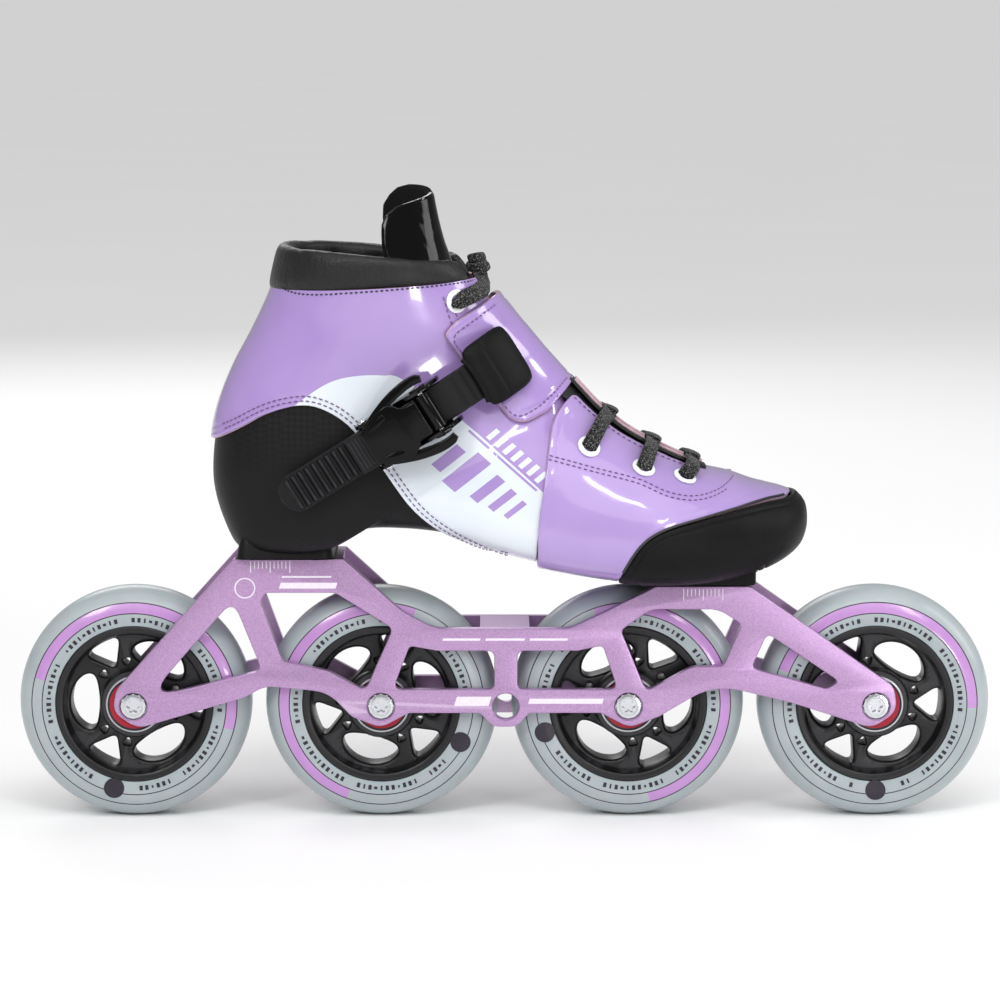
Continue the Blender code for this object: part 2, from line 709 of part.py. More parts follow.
def add_collar(paint):
    boot_patch("padded_collar", COLLAR, (0.0, COLLAR_END), (-0.86, 0.86), (3, 19), paint["leather"])


def add_lining(paint):
    lining = boot_skin("inner_lining", LINING, UPPER_START, 21, paint["lining"])
    outline = [(-130, 85), (62, 85), (62, 250), (-130, 250)]
    carve(lining, side_region("lining_region", outline), "INTERSECT")
    carve(lining, throat_cutter("lining_throat", 22, 20, 16, 140, 34), "DIFFERENCE")
    heel_room = as_cutter(box("heel_room", (-104, -22, 95), (-62, 22, 112.4)))
    carve(lining, heel_room, "DIFFERENCE")


def add_footbed(paint):
    boot_patch("footbed", FOOTBED, (8.9, 19.2), (-0.24, 0.24), (9, 5), paint["lining"])


def ribbon(name, stations, material, columns=7):
    """A bowed strip along a path in the XZ plane. A station is (x, z, half width, bow, thickness), millimetres:
    the bow is how far the strip's edges stand back from its middle."""
    grids = ([], [])
    count = len(stations)
    for i, (x, z, half, bow, thickness) in enumerate(stations):
        before, after = stations[max(i - 1, 0)], stations[min(i + 1, count - 1)]
        along = Vector((after[0] - before[0], 0, after[1] - before[1])).normalized()
        up = Vector((-along.z, 0, along.x))
        for j in range(columns):
            side = -1 + 2 * j / (columns - 1)
            edge = thickness * (1 - 0.55 * abs(side) ** 3)
            middle = Vector((x, side * half, z)) - up * (bow * side * side)
            grids[0].append(tuple((middle + up * edge / 2) * MM))
            grids[1].append(tuple((middle - up * edge / 2) * MM))
    return slab(name, grids[0] + grids[1], count, columns, material)


def add_tongue(paint):
    stations = [
        (-36.5, 244, 9, 6, 1.6), (-31.5, 240, 17, 13, 2.2), (-28.0, 232, 22, 18, 2.8), (-25.0, 222, 24, 19, 3.2),
        (-19.5, 211, 23, 16, 3.4),
    ]
    for k in range(10):
        u = 1.9 + 1.6 * k
        point = boot_point(u, 1.0, -7.6 * MM) / MM
        stations.append((point.x, point.z, 17.5 - 0.6 * k, 10 - 0.6 * k, 3.2))
    ribbon("tongue", stations, paint["patent"])


def add_rear_lace(paint):
    """The lace over the top of the tongue, with its knot. It is held by the two top eyelets."""
    lace = surface_cord("rear_lace", [(REAR_LACE_RING, v) for v in cord_sides(0.80, 7)], 3.9 * MM, paint["lace"])
    knot = bpy.data.meshes.new("knot")
    shape = bmesh.new()
    bmesh.ops.create_uvsphere(shape, u_segments=10, v_segments=6, radius=3.6 * MM)
    shape.to_mesh(knot)
    shape.free()
    place = boot_point(REAR_LACE_RING, 1.0, 6.2 * MM)
    combine(lace, add_object("lace_knot", knot, None, place), "UNION")


def cord_sides(reach, count):
    """Values of v from one side of the top line to the other."""
    values = [-reach - 2 * (1 - reach) * k / (count - 1) for k in range(count)]
    return [v + 2 if v < -1 else v for v in values]


def surface_cord(name, places, offset, material):
    """A round cord over the boot's surface, as a mesh."""
    curve = bpy.data.curves.new(name, "CURVE")
    curve.dimensions = "3D"
    curve.bevel_depth = 1.6 * MM
    curve.bevel_resolution = 1
    curve.use_fill_caps = True
    spline = curve.splines.new("POLY")
    spline.points.add(len(places) - 1)
    for point, (u, v) in zip(spline.points, places):
        point.co = (*boot_point(u, v, offset), 1)
    return freeze(add_object(name, curve, material))


# ---------------------------------------------------------------- boot, front half, which slides for size


def add_vamp(paint):
    vamp = boot_skin("vamp", VAMP, 8, 22.9, paint["lilac_light"])
    edge = [(x - 0.25, z + 0.35) for x, z in toe_cap_edge()]
    outline = [(12.5, 85), (12.3, 109), (14.6, 132), (16.8, 147.5), (18.5, 156), (28.5, 167.5), (60, 190), *edge]
    carve(vamp, side_region("vamp_region", outline), "INTERSECT")
    carve(vamp, throat_cutter("vamp_throat", 15, 10, 7, 118), "DIFFERENCE")
    carve(vamp, as_cutter(box("vamp_sole_room", (0, -27.3, 85), (130, 27.3, 99.5))), "DIFFERENCE")


def add_toe_cap(paint):
    cap = boot_skin("toe_cap", TOE_CAP, 10, 22.9, paint["rubber"])
    outline = [*toe_cap_edge(), (130, 85), (130, 133.5)]
    carve(cap, side_region("toe_cap_region", outline), "INTERSECT")
    carve(cap, as_cutter(box("toe_sole_room", (0, -27.3, 85), (97.3, 27.3, 99.5))), "DIFFERENCE")


def add_front_sole(paint):
    sole = boot_skin("front_sole", SOLE, 10, 22.9, paint["rubber"])
    region = as_cutter(box("sole_region", (16, -27, 85), (97, 27, 99.2)))
    carve(sole, region, "INTERSECT")
    low = FRONT_DECK_Z / MM + 0.3
    carve(sole, box("sole_block", (60, -17, low), (96.5, 17, 96)), "UNION")
    hole = upright_cylinder("sole_insert_hole", FRONT_MOUNT_X / MM, 0, 90, 104, 5.9, RACE_STEPS)
    carve(sole, as_cutter(hole), "DIFFERENCE")


def add_front_lace(paint):
    """Three runs of lace over the throat, joined along its middle."""
    offset = 5.95 * MM
    runs = [surface_cord(f"lace_run_{k}", [(u, v) for v in cord_sides(0.80, 7)], offset, paint["lace"])
            for k, u in enumerate((12.9, 15.4, 17.2))]
    spine = surface_cord("front_lace", [(12.9 + 0.86 * k, 1.0) for k in range(6)], offset, paint["lace"])
    for run in runs:
        combine(spine, run, "UNION")


# ---------------------------------------------------------------- instep strap, ladder strap and buckle


def add_instep_strap(paint):
    strap = boot_skin("instep_strap", STRAP, 0.5, 22.9, paint["lilac"])
    outer = rounded([
        (-22.5, 189.5, 3), (-18, 194.5, 3), (-3.5, 203.5, 2), (30, 212, 2), (45, 190, 2), (27.4, 171.5, 2),
        (17, 161.5, 8), (4.4, 155.6, 6),
    ])
    inner = rounded([(-3.5, 203.5, 2), (30, 212, 2), (45, 190, 2), (27.4, 171.5, 2), (-24, 120, 3), (-48, 132, 3)])
    half = 35 * MM
    plate_outer = plate("strap_outer_side", [outer], half, None, -half)
    plate_inner = plate("strap_inner_side", [inner], half, None, half - 0.05 * MM)
    combine(plate_outer, plate_inner, "UNION")
    region = freeze(plate_outer)
    carve(strap, as_cutter(region), "INTERSECT")


def strap_point(along, across, height):
    """From the ladder strap's own coordinates, in millimetres, to a place. Along runs up the strap from the
    lever's pin, across is square to it, and height stands out from the strap's underside."""
    start, radius = LADDER_BEND_START / MM, LADDER_BEND_R / MM
    out = LADDER_UNDERSIDE / MM + height
    if along > start:
        angle = (along - start) / radius
        out = LADDER_UNDERSIDE / MM - radius + (radius + height) * math.cos(angle)
        along = start + (radius + height) * math.sin(angle)
    cos, sin = math.cos(STRAP_ANGLE), math.sin(STRAP_ANGLE)
    x = BUCKLE_X / MM + along * cos - across * sin
    z = BUCKLE_Z / MM + along * sin + across * cos
    return Vector((x, -out, z)) * MM


def flat_point(along, across, height):
    """The same for the buckle, which is straight: its height is measured from the strap's underside too."""
    cos, sin = math.cos(STRAP_ANGLE), math.sin(STRAP_ANGLE)
    x = BUCKLE_X / MM + along * cos - across * sin
    z = BUCKLE_Z / MM + along * sin + across * cos
    return Vector((x, -LADDER_UNDERSIDE / MM - height, z)) * MM


def side_prism(name, outline, low, high, material=None):
    """A buckle piece from its side view (along, height), across from low to high."""
    points = [flat_point(a, across, h) for across in (low, high) for a, h in outline]
    return prism(name, points, material)


def plan_prism(name, outline, low, high, material=None):
    """A buckle piece from its plan (along, across), its height from low to high."""
    points = [flat_point(a, across, h) for h in (low, high) for a, across in outline]
    return prism(name, points, material)


def prism(name, points, material=None):
    """A closed solid from two like outlines, one after the other in the list of points."""
    count = len(points) // 2
    faces = [tuple(range(count)), tuple(reversed(range(count, 2 * count)))]
    faces += [(k, count + k, count + (k + 1) % count, (k + 1) % count) for k in range(count)]
    obj = add_object(name, mesh_of([tuple(point) for point in points], faces, name), material)
    face_out(obj.data)
    return obj


def turn_about(obj, along, height):
    """Puts a moving piece's origin on its pin's axis, the piece itself staying where it is."""
    place = flat_point(along, 0, height)
    obj.data.transform(Matrix.Translation(-place))
    obj.location = place


def add_ladder_strap(paint):
    """A toothed strip: teeth on its free end, plain where it runs to the pad."""
    half = LADDER_HALF_WIDTH / MM
    thickness = LADDER_THICKNESS / MM
    teeth = 11
    pitch = 3.0
    free_end, first_tooth, joint = -66.0, -62.0, 20.8
    profile = [(free_end, thickness)]
    for k in range(teeth):
        start = first_tooth + pitch * k
        profile += [(start, thickness), (start + 0.9, thickness + 1.1), (start + 1.9, thickness + 1.1)]
        profile += [(start + 2.1, thickness)]
    plain = first_tooth + pitch * teeth
    steps = 12
    profile += [(plain + (joint - plain) * k / steps, thickness) for k in range(1, steps + 1)]
    points = []
    for top in (1, 0):
        for along, height in profile:
            narrow = half * min(1.0, math.sqrt(max(along - free_end, 0.0) / 6) * 0.6 + 0.4)
            points += [tuple(strap_point(along, across, height * top)) for across in (-narrow, narrow)]
    slab("ladder_strap", points, len(profile), 2, paint["strap"])


def add_strap_pad(paint):
    columns, rows = 7, 7
    low, high, half = 21.1, 42.5, 12.4
    points = []
    for top in (True, False):
        for i in range(rows):
            t = -1 + 2 * i / (rows - 1)
            for j in range(columns):
                s = -1 + 2 * j / (columns - 1)
                round_off = 1 - 0.12 * abs(t) ** 4 - 0.03 * (t > 0) * t
                across = s * half * round_off
                along = (low + high) / 2 + t * (high - low) / 2 * (1 - 0.08 * abs(s) ** 4 * (t > 0))
                height = 3.6 + 2.2 * (1 - abs(t) ** 4) * (1 - abs(s) ** 4) if top else 1.2
                points.append(tuple(strap_point(along, across, height)))
    slab("strap_end_pad", points, rows, columns, paint["rubber"])


def buckle_pin(name, along, height, radius, half, material=None):
    outline = [(p.x, p.y) for p in circle(along, height, radius, 12)]
    return side_prism(name, outline, -half, half, material)


LEVER_PIN = (0.0, 6.6)
RELEASE_PIN = (-24.0, 5.4)


def add_buckle(paint):
    base = plan_prism("buckle_base", [(-27, -9.6), (5, -9.6), (5, 9.6), (-27, 9.6)], -2.2, -0.6, paint["buckle"])
    cheek = [
        (-27, -1.4), (9, -1.4), (8, 4), (4.5, 9.4), (0, 10.4), (-5, 9.6), (-9, 6.8), (-20, 6.8), (-23, 7.6),
        (-26, 6.6), (-27.6, 4),
    ]
    for k, side in enumerate((-1, 1)):
        low, high = sorted((side * 8.0, side * 9.6))
        combine(base, side_prism(f"cheek_{k}", cheek, low, high), "UNION")
    combine(base, as_cutter(buckle_pin("lever_pin_hole", *LEVER_PIN, 1.5, 14)), "DIFFERENCE")
    combine(base, as_cutter(buckle_pin("release_pin_hole", *RELEASE_PIN, 1.2, 14)), "DIFFERENCE")
    buckle_pin("lever_pin", *LEVER_PIN, 1.2, 10.2, paint["buckle"])
    buckle_pin("release_pin", *RELEASE_PIN, 0.9, 9.9, paint["buckle"])

    plan = [
        (3.2, 7.4), (3.2, -7.4), (-10.5, -7.4), (-10.5, -10.2), (3.5, -10.2), (2.6, -13.2), (-4, -15.2),
        (-14, -13.4), (-21, -10.6), (-27, -7.6), (-27, 7.6), (-21, 10.6), (-14, 13.4), (-4, 15.2), (2.6, 13.2),
        (3.5, 10.2), (-10.5, 10.2), (-10.5, 7.4),
    ]
    lever = plan_prism("ratchet_lever", plan, 8.4, 10.4, paint["buckle"])
    barrel = buckle_pin("lever_barrel", *LEVER_PIN, 3.1, 7.4)
    combine(lever, barrel, "UNION")
    combine(lever, as_cutter(buckle_pin("lever_bore", *LEVER_PIN, 1.5, 12)), "DIFFERENCE")
    turn_about(lever, *LEVER_PIN)
    side_prism("drive_pawl", [(-10, 3.4), (-8.6, 8.0), (-4, 8.0), (-3.9, 5.6), (-7, 3.2)], -5, 5, paint["steel"])
    leaf = [(-19, 7.7), (-19, 8.1), (-14, 8.1), (-10.6, 6.4), (-10.9, 6.0), (-14.2, 7.7)]
    side_prism("pawl_spring", leaf, -2, 2, paint["steel"])

    tab = [
        (-34, 3.4), (-34, 5.2), (-32.5, 6.2), (-27, 7.2), (-24, 7.4), (-22, 6.8), (-21.8, 4.6), (-24, 3.6),
        (-28, 3.3),
    ]
    release = side_prism("release_lever", tab, -7.4, 7.4, paint["strap"])
    combine(release, as_cutter(buckle_pin("release_bore", *RELEASE_PIN, 1.2, 12)), "DIFFERENCE")
    turn_about(release, *RELEASE_PIN)


# ---------------------------------------------------------------- main


def make_paint():
    return {
        "tyre": make_material("tyre_urethane", (0.45, 0.52, 0.55), 0.35),
        "hub": make_material("hub_plastic", (0.015, 0.015, 0.017), 0.35),
        "steel": make_material("steel", (0.62, 0.62, 0.64), 0.25, 1.0),
        "seal": make_material("bearing_seal", (0.55, 0.02, 0.05), 0.4),
        "alloy": make_material("alloy", (0.75, 0.75, 0.77), 0.35, 1.0),
        "frame": make_material("frame_anodised", (0.52, 0.27, 0.58), 0.32, 0.8),
        "carbon": make_material("heel_composite", (0.02, 0.02, 0.02), 0.5),
        "lilac": make_material("patent_lilac", (0.42, 0.29, 0.62), 0.12),
        "lilac_light": make_material("patent_lilac_light", (0.47, 0.34, 0.67), 0.12),
        "leather": make_material("collar_leather", (0.012, 0.012, 0.012), 0.45),
        "patent": make_material("tongue_patent", (0.01, 0.01, 0.01), 0.1),
        "lining": make_material("lining_fabric", (0.02, 0.02, 0.02), 0.9),
        "lace": make_material("lace_fabric", (0.03, 0.03, 0.03), 0.8),
        "rubber": make_material("moulded_rubber", (0.02, 0.02, 0.02), 0.5),
        "strap": make_material("ladder_plastic", (0.025, 0.025, 0.028), 0.45),
        "buckle": make_material("buckle_plastic", (0.008, 0.008, 0.008), 0.12),
    }


clear_scene()
PARTS = make_collection("inline_skate")
CUTTERS = make_collection("cutters")
PAINT = make_paint()
WINDOW_TURNS = (0, -44, -4, -3)
for wheel, position in enumerate(axle_positions()):
    add_wheel(wheel + 1, position, WINDOW_TURNS[wheel], PAINT)
add_frame(PAINT)
add_mounting("rear", REAR_MOUNT_X, REAR_DECK_Z, 97.4, 8, PAINT)
add_mounting("front", FRONT_MOUNT_X, FRONT_DECK_Z, 87.2, 4.6, PAINT)
add_heel_shell(PAINT)
add_quarter(PAINT)
add_collar(PAINT)
add_lining(PAINT)
add_footbed(PAINT)
add_tongue(PAINT)
add_rear_lace(PAINT)
add_vamp(PAINT)
add_toe_cap(PAINT)
add_front_sole(PAINT)
add_front_lace(PAINT)
add_instep_strap(PAINT)
add_ladder_strap(PAINT)
add_strap_pad(PAINT)
add_buckle(PAINT)
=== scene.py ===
"""The looks of the inline skate: fine surfaces, stitching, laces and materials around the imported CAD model.

Metres, in the CAD's frame: +X to the toe, -Y to the outer side of the foot, +Z up. Lengths below are written
in millimetres and multiplied by MM.
"""

import math
from collections import defaultdict

import bmesh
import bpy
import numpy as np
from mathutils import Matrix, Vector
from mathutils.bvhtree import BVHTree


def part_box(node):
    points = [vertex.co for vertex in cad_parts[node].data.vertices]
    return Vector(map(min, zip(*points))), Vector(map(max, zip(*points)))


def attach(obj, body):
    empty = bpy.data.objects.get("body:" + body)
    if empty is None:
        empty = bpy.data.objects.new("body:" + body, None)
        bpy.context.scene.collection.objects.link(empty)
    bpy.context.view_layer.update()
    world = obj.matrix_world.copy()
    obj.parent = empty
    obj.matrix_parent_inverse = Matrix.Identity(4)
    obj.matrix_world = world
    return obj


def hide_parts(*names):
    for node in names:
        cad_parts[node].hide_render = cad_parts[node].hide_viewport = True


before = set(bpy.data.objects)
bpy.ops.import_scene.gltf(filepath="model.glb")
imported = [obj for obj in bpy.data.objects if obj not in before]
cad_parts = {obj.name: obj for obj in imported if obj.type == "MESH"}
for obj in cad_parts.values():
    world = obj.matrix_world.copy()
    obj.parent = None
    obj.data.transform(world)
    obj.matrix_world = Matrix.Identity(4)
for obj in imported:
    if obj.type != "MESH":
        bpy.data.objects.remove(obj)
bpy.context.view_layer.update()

MM = 0.001

NEAR, FAR = -1, 1
TURN = 2 * math.pi


# ---------------------------------------------------------------- small helpers


def centre_of(node):
    low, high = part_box(node)
    return (low + high) / 2


def link(name, mesh, materials=()):
    obj = bpy.data.objects.new(name, mesh)
    bpy.context.scene.collection.objects.link(obj)
    for material in materials:
        mesh.materials.append(material)
    return obj


def build(name, points, faces, materials, picks=None, angle=38, repair=True):
    """An object from points in metres. picks holds each face's material number."""
    mesh = bpy.data.meshes.new(name)
    mesh.from_pydata([tuple(point) for point in points], [], [tuple(face) for face in faces])
    obj = link(name, mesh, materials)
    if picks is not None:
        mesh.polygons.foreach_set("material_index", np.asarray(picks, np.int32))
    if repair:
        face_out(mesh)
    shade(mesh, angle)
    return obj


def face_out(mesh):
    shape = bmesh.new()
    shape.from_mesh(mesh)
    bmesh.ops.recalc_face_normals(shape, faces=shape.faces)
    shape.to_mesh(mesh)
    shape.free()


def shade(mesh, angle=38):
    mesh.shade_smooth()
    mesh.set_sharp_from_angle(angle=math.radians(angle))


def evaluated(obj):
    """The object's mesh with its modifiers, as a new mesh."""
    bpy.context.view_layer.update()
    graph = bpy.context.evaluated_depsgraph_get()
    return bpy.data.meshes.new_from_object(obj.evaluated_get(graph))


def settle(obj):
    """Replaces an object by a mesh object of its evaluated, placed and welded shape."""
    mesh = evaluated(obj)
    mesh.transform(obj.matrix_world)
    name = obj.name
    bpy.data.objects.remove(obj, do_unlink=True)
    shape = bmesh.new()
    shape.from_mesh(mesh)
    bmesh.ops.remove_doubles(shape, verts=shape.verts, dist=2e-6)
    bmesh.ops.recalc_face_normals(shape, faces=shape.faces)
    shape.to_mesh(mesh)
    shape.free()
    settled = bpy.data.objects.new(name, mesh)
    bpy.context.scene.collection.objects.link(settled)
    return settled


def cut(obj, other, operation="DIFFERENCE"):
    """Cuts or joins two closed meshes and drops the second."""
    modifier = obj.modifiers.new("Cut", "BOOLEAN")
    modifier.operation = operation
    modifier.object = other
    modifier.solver = "MANIFOLD"
    mesh = evaluated(obj)
    obj.modifiers.clear()
    obj.data = mesh
    bpy.data.objects.remove(other, do_unlink=True)
    return obj


def bevelled(obj, width, segments=2, angle=30):
    bevel = obj.modifiers.new("Bevel", "BEVEL")
    bevel.width = width * MM
    bevel.segments = segments
    bevel.limit_method = "ANGLE"
    bevel.angle_limit = math.radians(angle)
    bevel.harden_normals = True
    return obj


def place(obj, body, slot, *nodes):
    """Hangs a piece on the body that it rides on and hides the CAD nodes that it stands for. The slot is not
    used.
    """
    if nodes:
        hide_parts(*nodes)
    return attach(obj, body)


def joined(name, objects, materials):
    """One object from several, with their own faces and material numbers."""
    shape = bmesh.new()
    for obj in objects:
        shape.from_mesh(obj.data)
        bpy.data.objects.remove(obj, do_unlink=True)
    mesh = bpy.data.meshes.new(name)
    shape.to_mesh(mesh)
    shape.free()
    return link(name, mesh, materials)


def rounded(corners, segments=7):
    """A polygon's points with its corners rounded. A corner is (x, z, radius)."""
    points = []
    count = len(corners)
    for i, (x, z, radius) in enumerate(corners):
        here = Vector((x, z))
        before = Vector(corners[i - 1][:2]) - here
        after = Vector(corners[(i + 1) % count][:2]) - here
        if radius <= 0:
            points.append(here)
            continue
        half_turn = before.angle(after) / 2
        reach = min(radius / math.tan(half_turn), 0.49 * before.length, 0.49 * after.length)
        start = here + before.normalized() * reach
        end = here + after.normalized() * reach
        for k in range(segments + 1):
            t = k / segments
            points.append(start.lerp(here, t).lerp(here.lerp(end, t), t))
    return points


def circle(x, z, radius, sides=48):
    return [Vector((x + radius * math.cos(TURN * k / sides), z + radius * math.sin(TURN * k / sides)))
            for k in range(sides)]


def catmull_rom(a, b, c, d, t):
    return 0.5 * (2 * b + (c - a) * t + (2 * a - 5 * b + 4 * c - d) * t**2 + (3 * b - a - 3 * c + d) * t**3)


def spline(points, per_span=6):
    """A smooth curve through points of any length, its ends straight."""
    points = [np.array(point, float) for point in points]
    padded = [2 * points[0] - points[1], *points, 2 * points[-1] - points[-2]]
    curve = []
    for a, b, c, d in zip(padded, padded[1:], padded[2:], padded[3:]):
        curve += [catmull_rom(a, b, c, d, k / per_span) for k in range(per_span)]
    return [*curve, points[-1]]


def area_of(outline):
    return sum(a[0] * b[1] - b[0] * a[1] for a, b in zip(outline, [*outline[1:], outline[0]])) / 2


def plate(name, outlines, half, bevel=0.0, y=0.0, steps=3):
    """A flat plate in the XZ plane with rounded edges: its outline, then its holes, in millimetres."""
    curve = bpy.data.curves.new(name, "CURVE")
    curve.dimensions = "2D"
    curve.fill_mode = "BOTH"
    curve.extrude = (half - bevel) * MM
    curve.bevel_depth = bevel * MM
    curve.offset = -bevel * MM
    curve.bevel_resolution = steps - 1
    for number, outline in enumerate(outlines):
        outline = [tuple(point) for point in outline]
        if (area_of(outline) > 0) != (number == 0):
            outline.reverse()
        line = curve.splines.new("POLY")
        line.points.add(len(outline) - 1)
        for point, (x, z) in zip(line.points, outline):
            point.co = (x * MM, z * MM, 0, 1)
        line.use_cyclic_u = True
    obj = link(name, curve)
    obj.rotation_euler = (math.pi / 2, 0, 0)
    obj.location = (0, y * MM, 0)
    return settle(obj)


def loft(name, outline, levels, place_at, materials, angle=34):
    """A closed piece from an outline repeated at levels of (depth, inset). place_at gives a point in
    metres."""
    outline = [tuple(point) for point in outline]
    if area_of(outline) < 0:
        outline.reverse()
    ring = np.array(outline)
    first = ring - np.roll(ring, 1, 0)
    second = np.roll(ring, -1, 0) - ring
    first /= np.linalg.norm(first, axis=1, keepdims=True)
    second /= np.linalg.norm(second, axis=1, keepdims=True)
    outward = np.stack([first[:, 1] + second[:, 1], -first[:, 0] - second[:, 0]], -1)
    outward /= np.maximum(np.linalg.norm(outward, axis=1, keepdims=True), 1e-9)
    points, faces = [], []
    count = len(outline)
    for depth, inset in levels:
        points += [place_at(a, b, depth) for a, b in ring - outward * inset]
    for i in range(len(levels) - 1):
        faces += [(i * count + k, i * count + (k + 1) % count, (i + 1) * count + (k + 1) % count,
                   (i + 1) * count + k) for k in range(count)]
    faces.append(tuple(reversed(range(count))))
    faces.append(tuple((len(levels) - 1) * count + k for k in range(count)))
    return build(name, points, faces, materials, angle=angle)


def round_levels(low, high, edge, steps=3):
    """Levels whose edges are rounded outwards, or flare for a negative edge."""
    quarter = [(abs(edge) * (1 - math.cos(math.pi / 2 * k / steps)),
                edge * (1 - math.sin(math.pi / 2 * k / steps)))
               for k in range(steps + 1)]
    return [(low + at, inset) for at, inset in quarter] + [(high - at, inset)
                                                           for at, inset in reversed(quarter)]


def turned(name, profile, steps, materials, centre=(0, 0, 0), pick=None, axis="Y", angle=38, closed=True):
    """A turned piece. The profile is (radius, distance along the axis) in millimetres, along -Y for Y.
    pick(segment, turn) gives a face's material number, turn running from 0 to 1 from +X towards +Z."""
    count = len(profile)
    points, faces, picks = [], [], []
    for k in range(steps):
        a = TURN * k / steps
        for radius, along in profile:
            across = Vector((radius * math.cos(a), -along, radius * math.sin(a)))
            if axis == "Z":
                across = Vector((radius * math.cos(a), radius * math.sin(a), along))
            points.append(Vector(centre) + across * MM)
    spans = count if closed else count - 1
    for k in range(steps):
        for j in range(spans):
            a, b = k * count + j, k * count + (j + 1) % count
            c, d = (b + count) % len(points), (a + count) % len(points)
            faces.append((a, b, c, d))
            picks.append(pick(j, (k + 0.5) / steps) if pick else 0)
    if not closed:
        for end in (0, count - 1):
            faces.append([k * count + end for k in range(steps)])
            picks.append(0)
    obj = build(name, points, faces, materials, picks, angle)
    shape = bmesh.new()
    shape.from_mesh(obj.data)
    bmesh.ops.remove_doubles(shape, verts=shape.verts, dist=1e-7)
    bmesh.ops.recalc_face_normals(shape, faces=shape.faces)
    shape.to_mesh(obj.data)
    shape.free()
    shade(obj.data, angle)
    return obj


# ---------------------------------------------------------------- materials


class Nodes:
    """Short calls for building one material's nodes. Texture sizes are in millimetres."""

    def __init__(self, name, colour, roughness, metallic=0.0, **more):
        self.material = bpy.data.materials.new(name)
        self.material.use_nodes = True
        self.tree = self.material.node_tree
        self.shader = self.tree.nodes["Principled BSDF"]
        self.set("Base Color", (*linear(colour), 1))
        self.set("Roughness", roughness)
        self.set("Metallic", metallic)
        for key, value in more.items():
            self.set(key.replace("_", " "), value)
        self.place = self.tree.nodes.new("ShaderNodeTexCoord").outputs["Object"]
        self.normal = None

    def set(self, key, value):
        self.shader.inputs[key].default_value = value

    def new(self, kind, **values):
        node = self.tree.nodes.new("ShaderNode" + kind)
        for key, value in values.items():
            if hasattr(node, key):
                setattr(node, key, value)
            else:
                node.inputs[key.replace("_", " ")].default_value = value
        return node

    def join(self, output, entry):
        self.tree.links.new(output, entry)

    def stretched(self, sx, sy, sz, turn=(0, 0, 0)):
        """Object coordinates, scaled before a texture."""
        mapping = self.new("Mapping")
        mapping.inputs["Scale"].default_value = (sx, sy, sz)
        mapping.inputs["Rotation"].default_value = turn
        self.join(self.place, mapping.inputs["Vector"])
        return mapping.outputs["Vector"]

    def noise(self, size, detail=3.0, rough=0.5, place=None):
        node = self.new("TexNoise", Detail=detail, Roughness=rough, Scale=1 / (size * MM))
        self.join(place or self.place, node.inputs["Vector"])
        return node.outputs["Fac"]

    def cells(self, size, place=None, feature="F1"):
        node = self.new("TexVoronoi", Scale=1 / (size * MM))
        node.feature = feature
        self.join(place or self.place, node.inputs["Vector"])
        return node.outputs["Distance"]

    def waves(self, size, place=None, distortion=0.0, direction="X"):
        node = self.new("TexWave", Scale=0.314 / (size * MM), Distortion=distortion)
        node.bands_direction = direction
        self.join(place or self.place, node.inputs["Vector"])
        return node.outputs["Fac"]

    def math(self, operation, a, b=0.5):
        node = self.new("Math")
        node.operation = operation
        for entry, value in zip(node.inputs, (a, b)):
            if isinstance(value, (int, float)):
                entry.default_value = value
            else:
                self.join(value, entry)
        return node.outputs[0]

    def spread(self, value, low, high, from_low=0.0, from_high=1.0):
        node = self.new("MapRange")
        for key, number in zip(("From Min", "From Max", "To Min", "To Max"),
                               (from_low, from_high, low, high)):
            node.inputs[key].default_value = number
        self.join(value, node.inputs["Value"])
        return node.outputs["Result"]

    def blend(self, value, first, second, entry="Base Color"):
        """Colours the surface between two sRGB colours by a value."""
        node = self.new("Mix")
        node.data_type = "RGBA"
        self.join(value, node.inputs[0])
        for socket, colour in ((node.inputs[6], first), (node.inputs[7], second)):
            if isinstance(colour, tuple):
                socket.default_value = (*linear(colour), 1)
            else:
                self.join(colour, socket)
        if entry:
            self.join(node.outputs[2], self.shader.inputs[entry])
        return node.outputs[2]

    def rough(self, value, low, high):
        self.join(self.spread(value, low, high), self.shader.inputs["Roughness"])

    def bump(self, height, depth, strength=1.0):
        """Raises the surface by a value times a depth in millimetres. Later calls add to earlier ones."""
        node = self.new("Bump", Strength=strength, Distance=depth * MM)
        self.join(height, node.inputs["Height"])
        if self.normal:
            self.join(self.normal, node.inputs["Normal"])
        self.normal = node.outputs["Normal"]
        self.join(self.normal, self.shader.inputs["Normal"])

    def wear(self, colour, amount=0.5, low=0.53, high=0.62):
        """Lightens the edges where the surface is most convex."""
        edge = self.new("NewGeometry").outputs["Pointiness"]
        mask = self.math("MULTIPLY", self.spread(edge, 0, 1, low, high),
                         self.spread(self.noise(1.2), 0.2, amount * 2))
        clamp = self.math("MINIMUM", mask, amount)
        first = self.shader.inputs["Base Color"]
        base = first.links[0].from_socket if first.links else None
        if base is None:
            colour_node = self.new("RGB")
            colour_node.outputs[0].default_value = first.default_value
            base = colour_node.outputs[0]
        self.blend(clamp, base, colour)


def linear(colour):
    """sRGB 0-255 to linear."""
    return tuple(c / 12.92 if c <= 0.04045 else ((c + 0.055) / 1.055) ** 2.4
                 for c in (k / 255 for k in colour))


def patent(name, colour, shadow):
    """Patent leather: a clear lacquer over a smooth, slightly uneven hide."""
    n = Nodes(name, colour, 0.16, Coat_Weight=0.9, Coat_Roughness=0.03, Specular_IOR_Level=0.5)
    n.blend(n.spread(n.noise(26, 2), 0, 1, 0.3, 0.7), shadow, colour)
    n.rough(n.noise(5, 2), 0.11, 0.2)
    n.bump(n.noise(19, 1.5), 0.42)
    n.bump(n.noise(0.55, 2), 0.004)
    return n.material


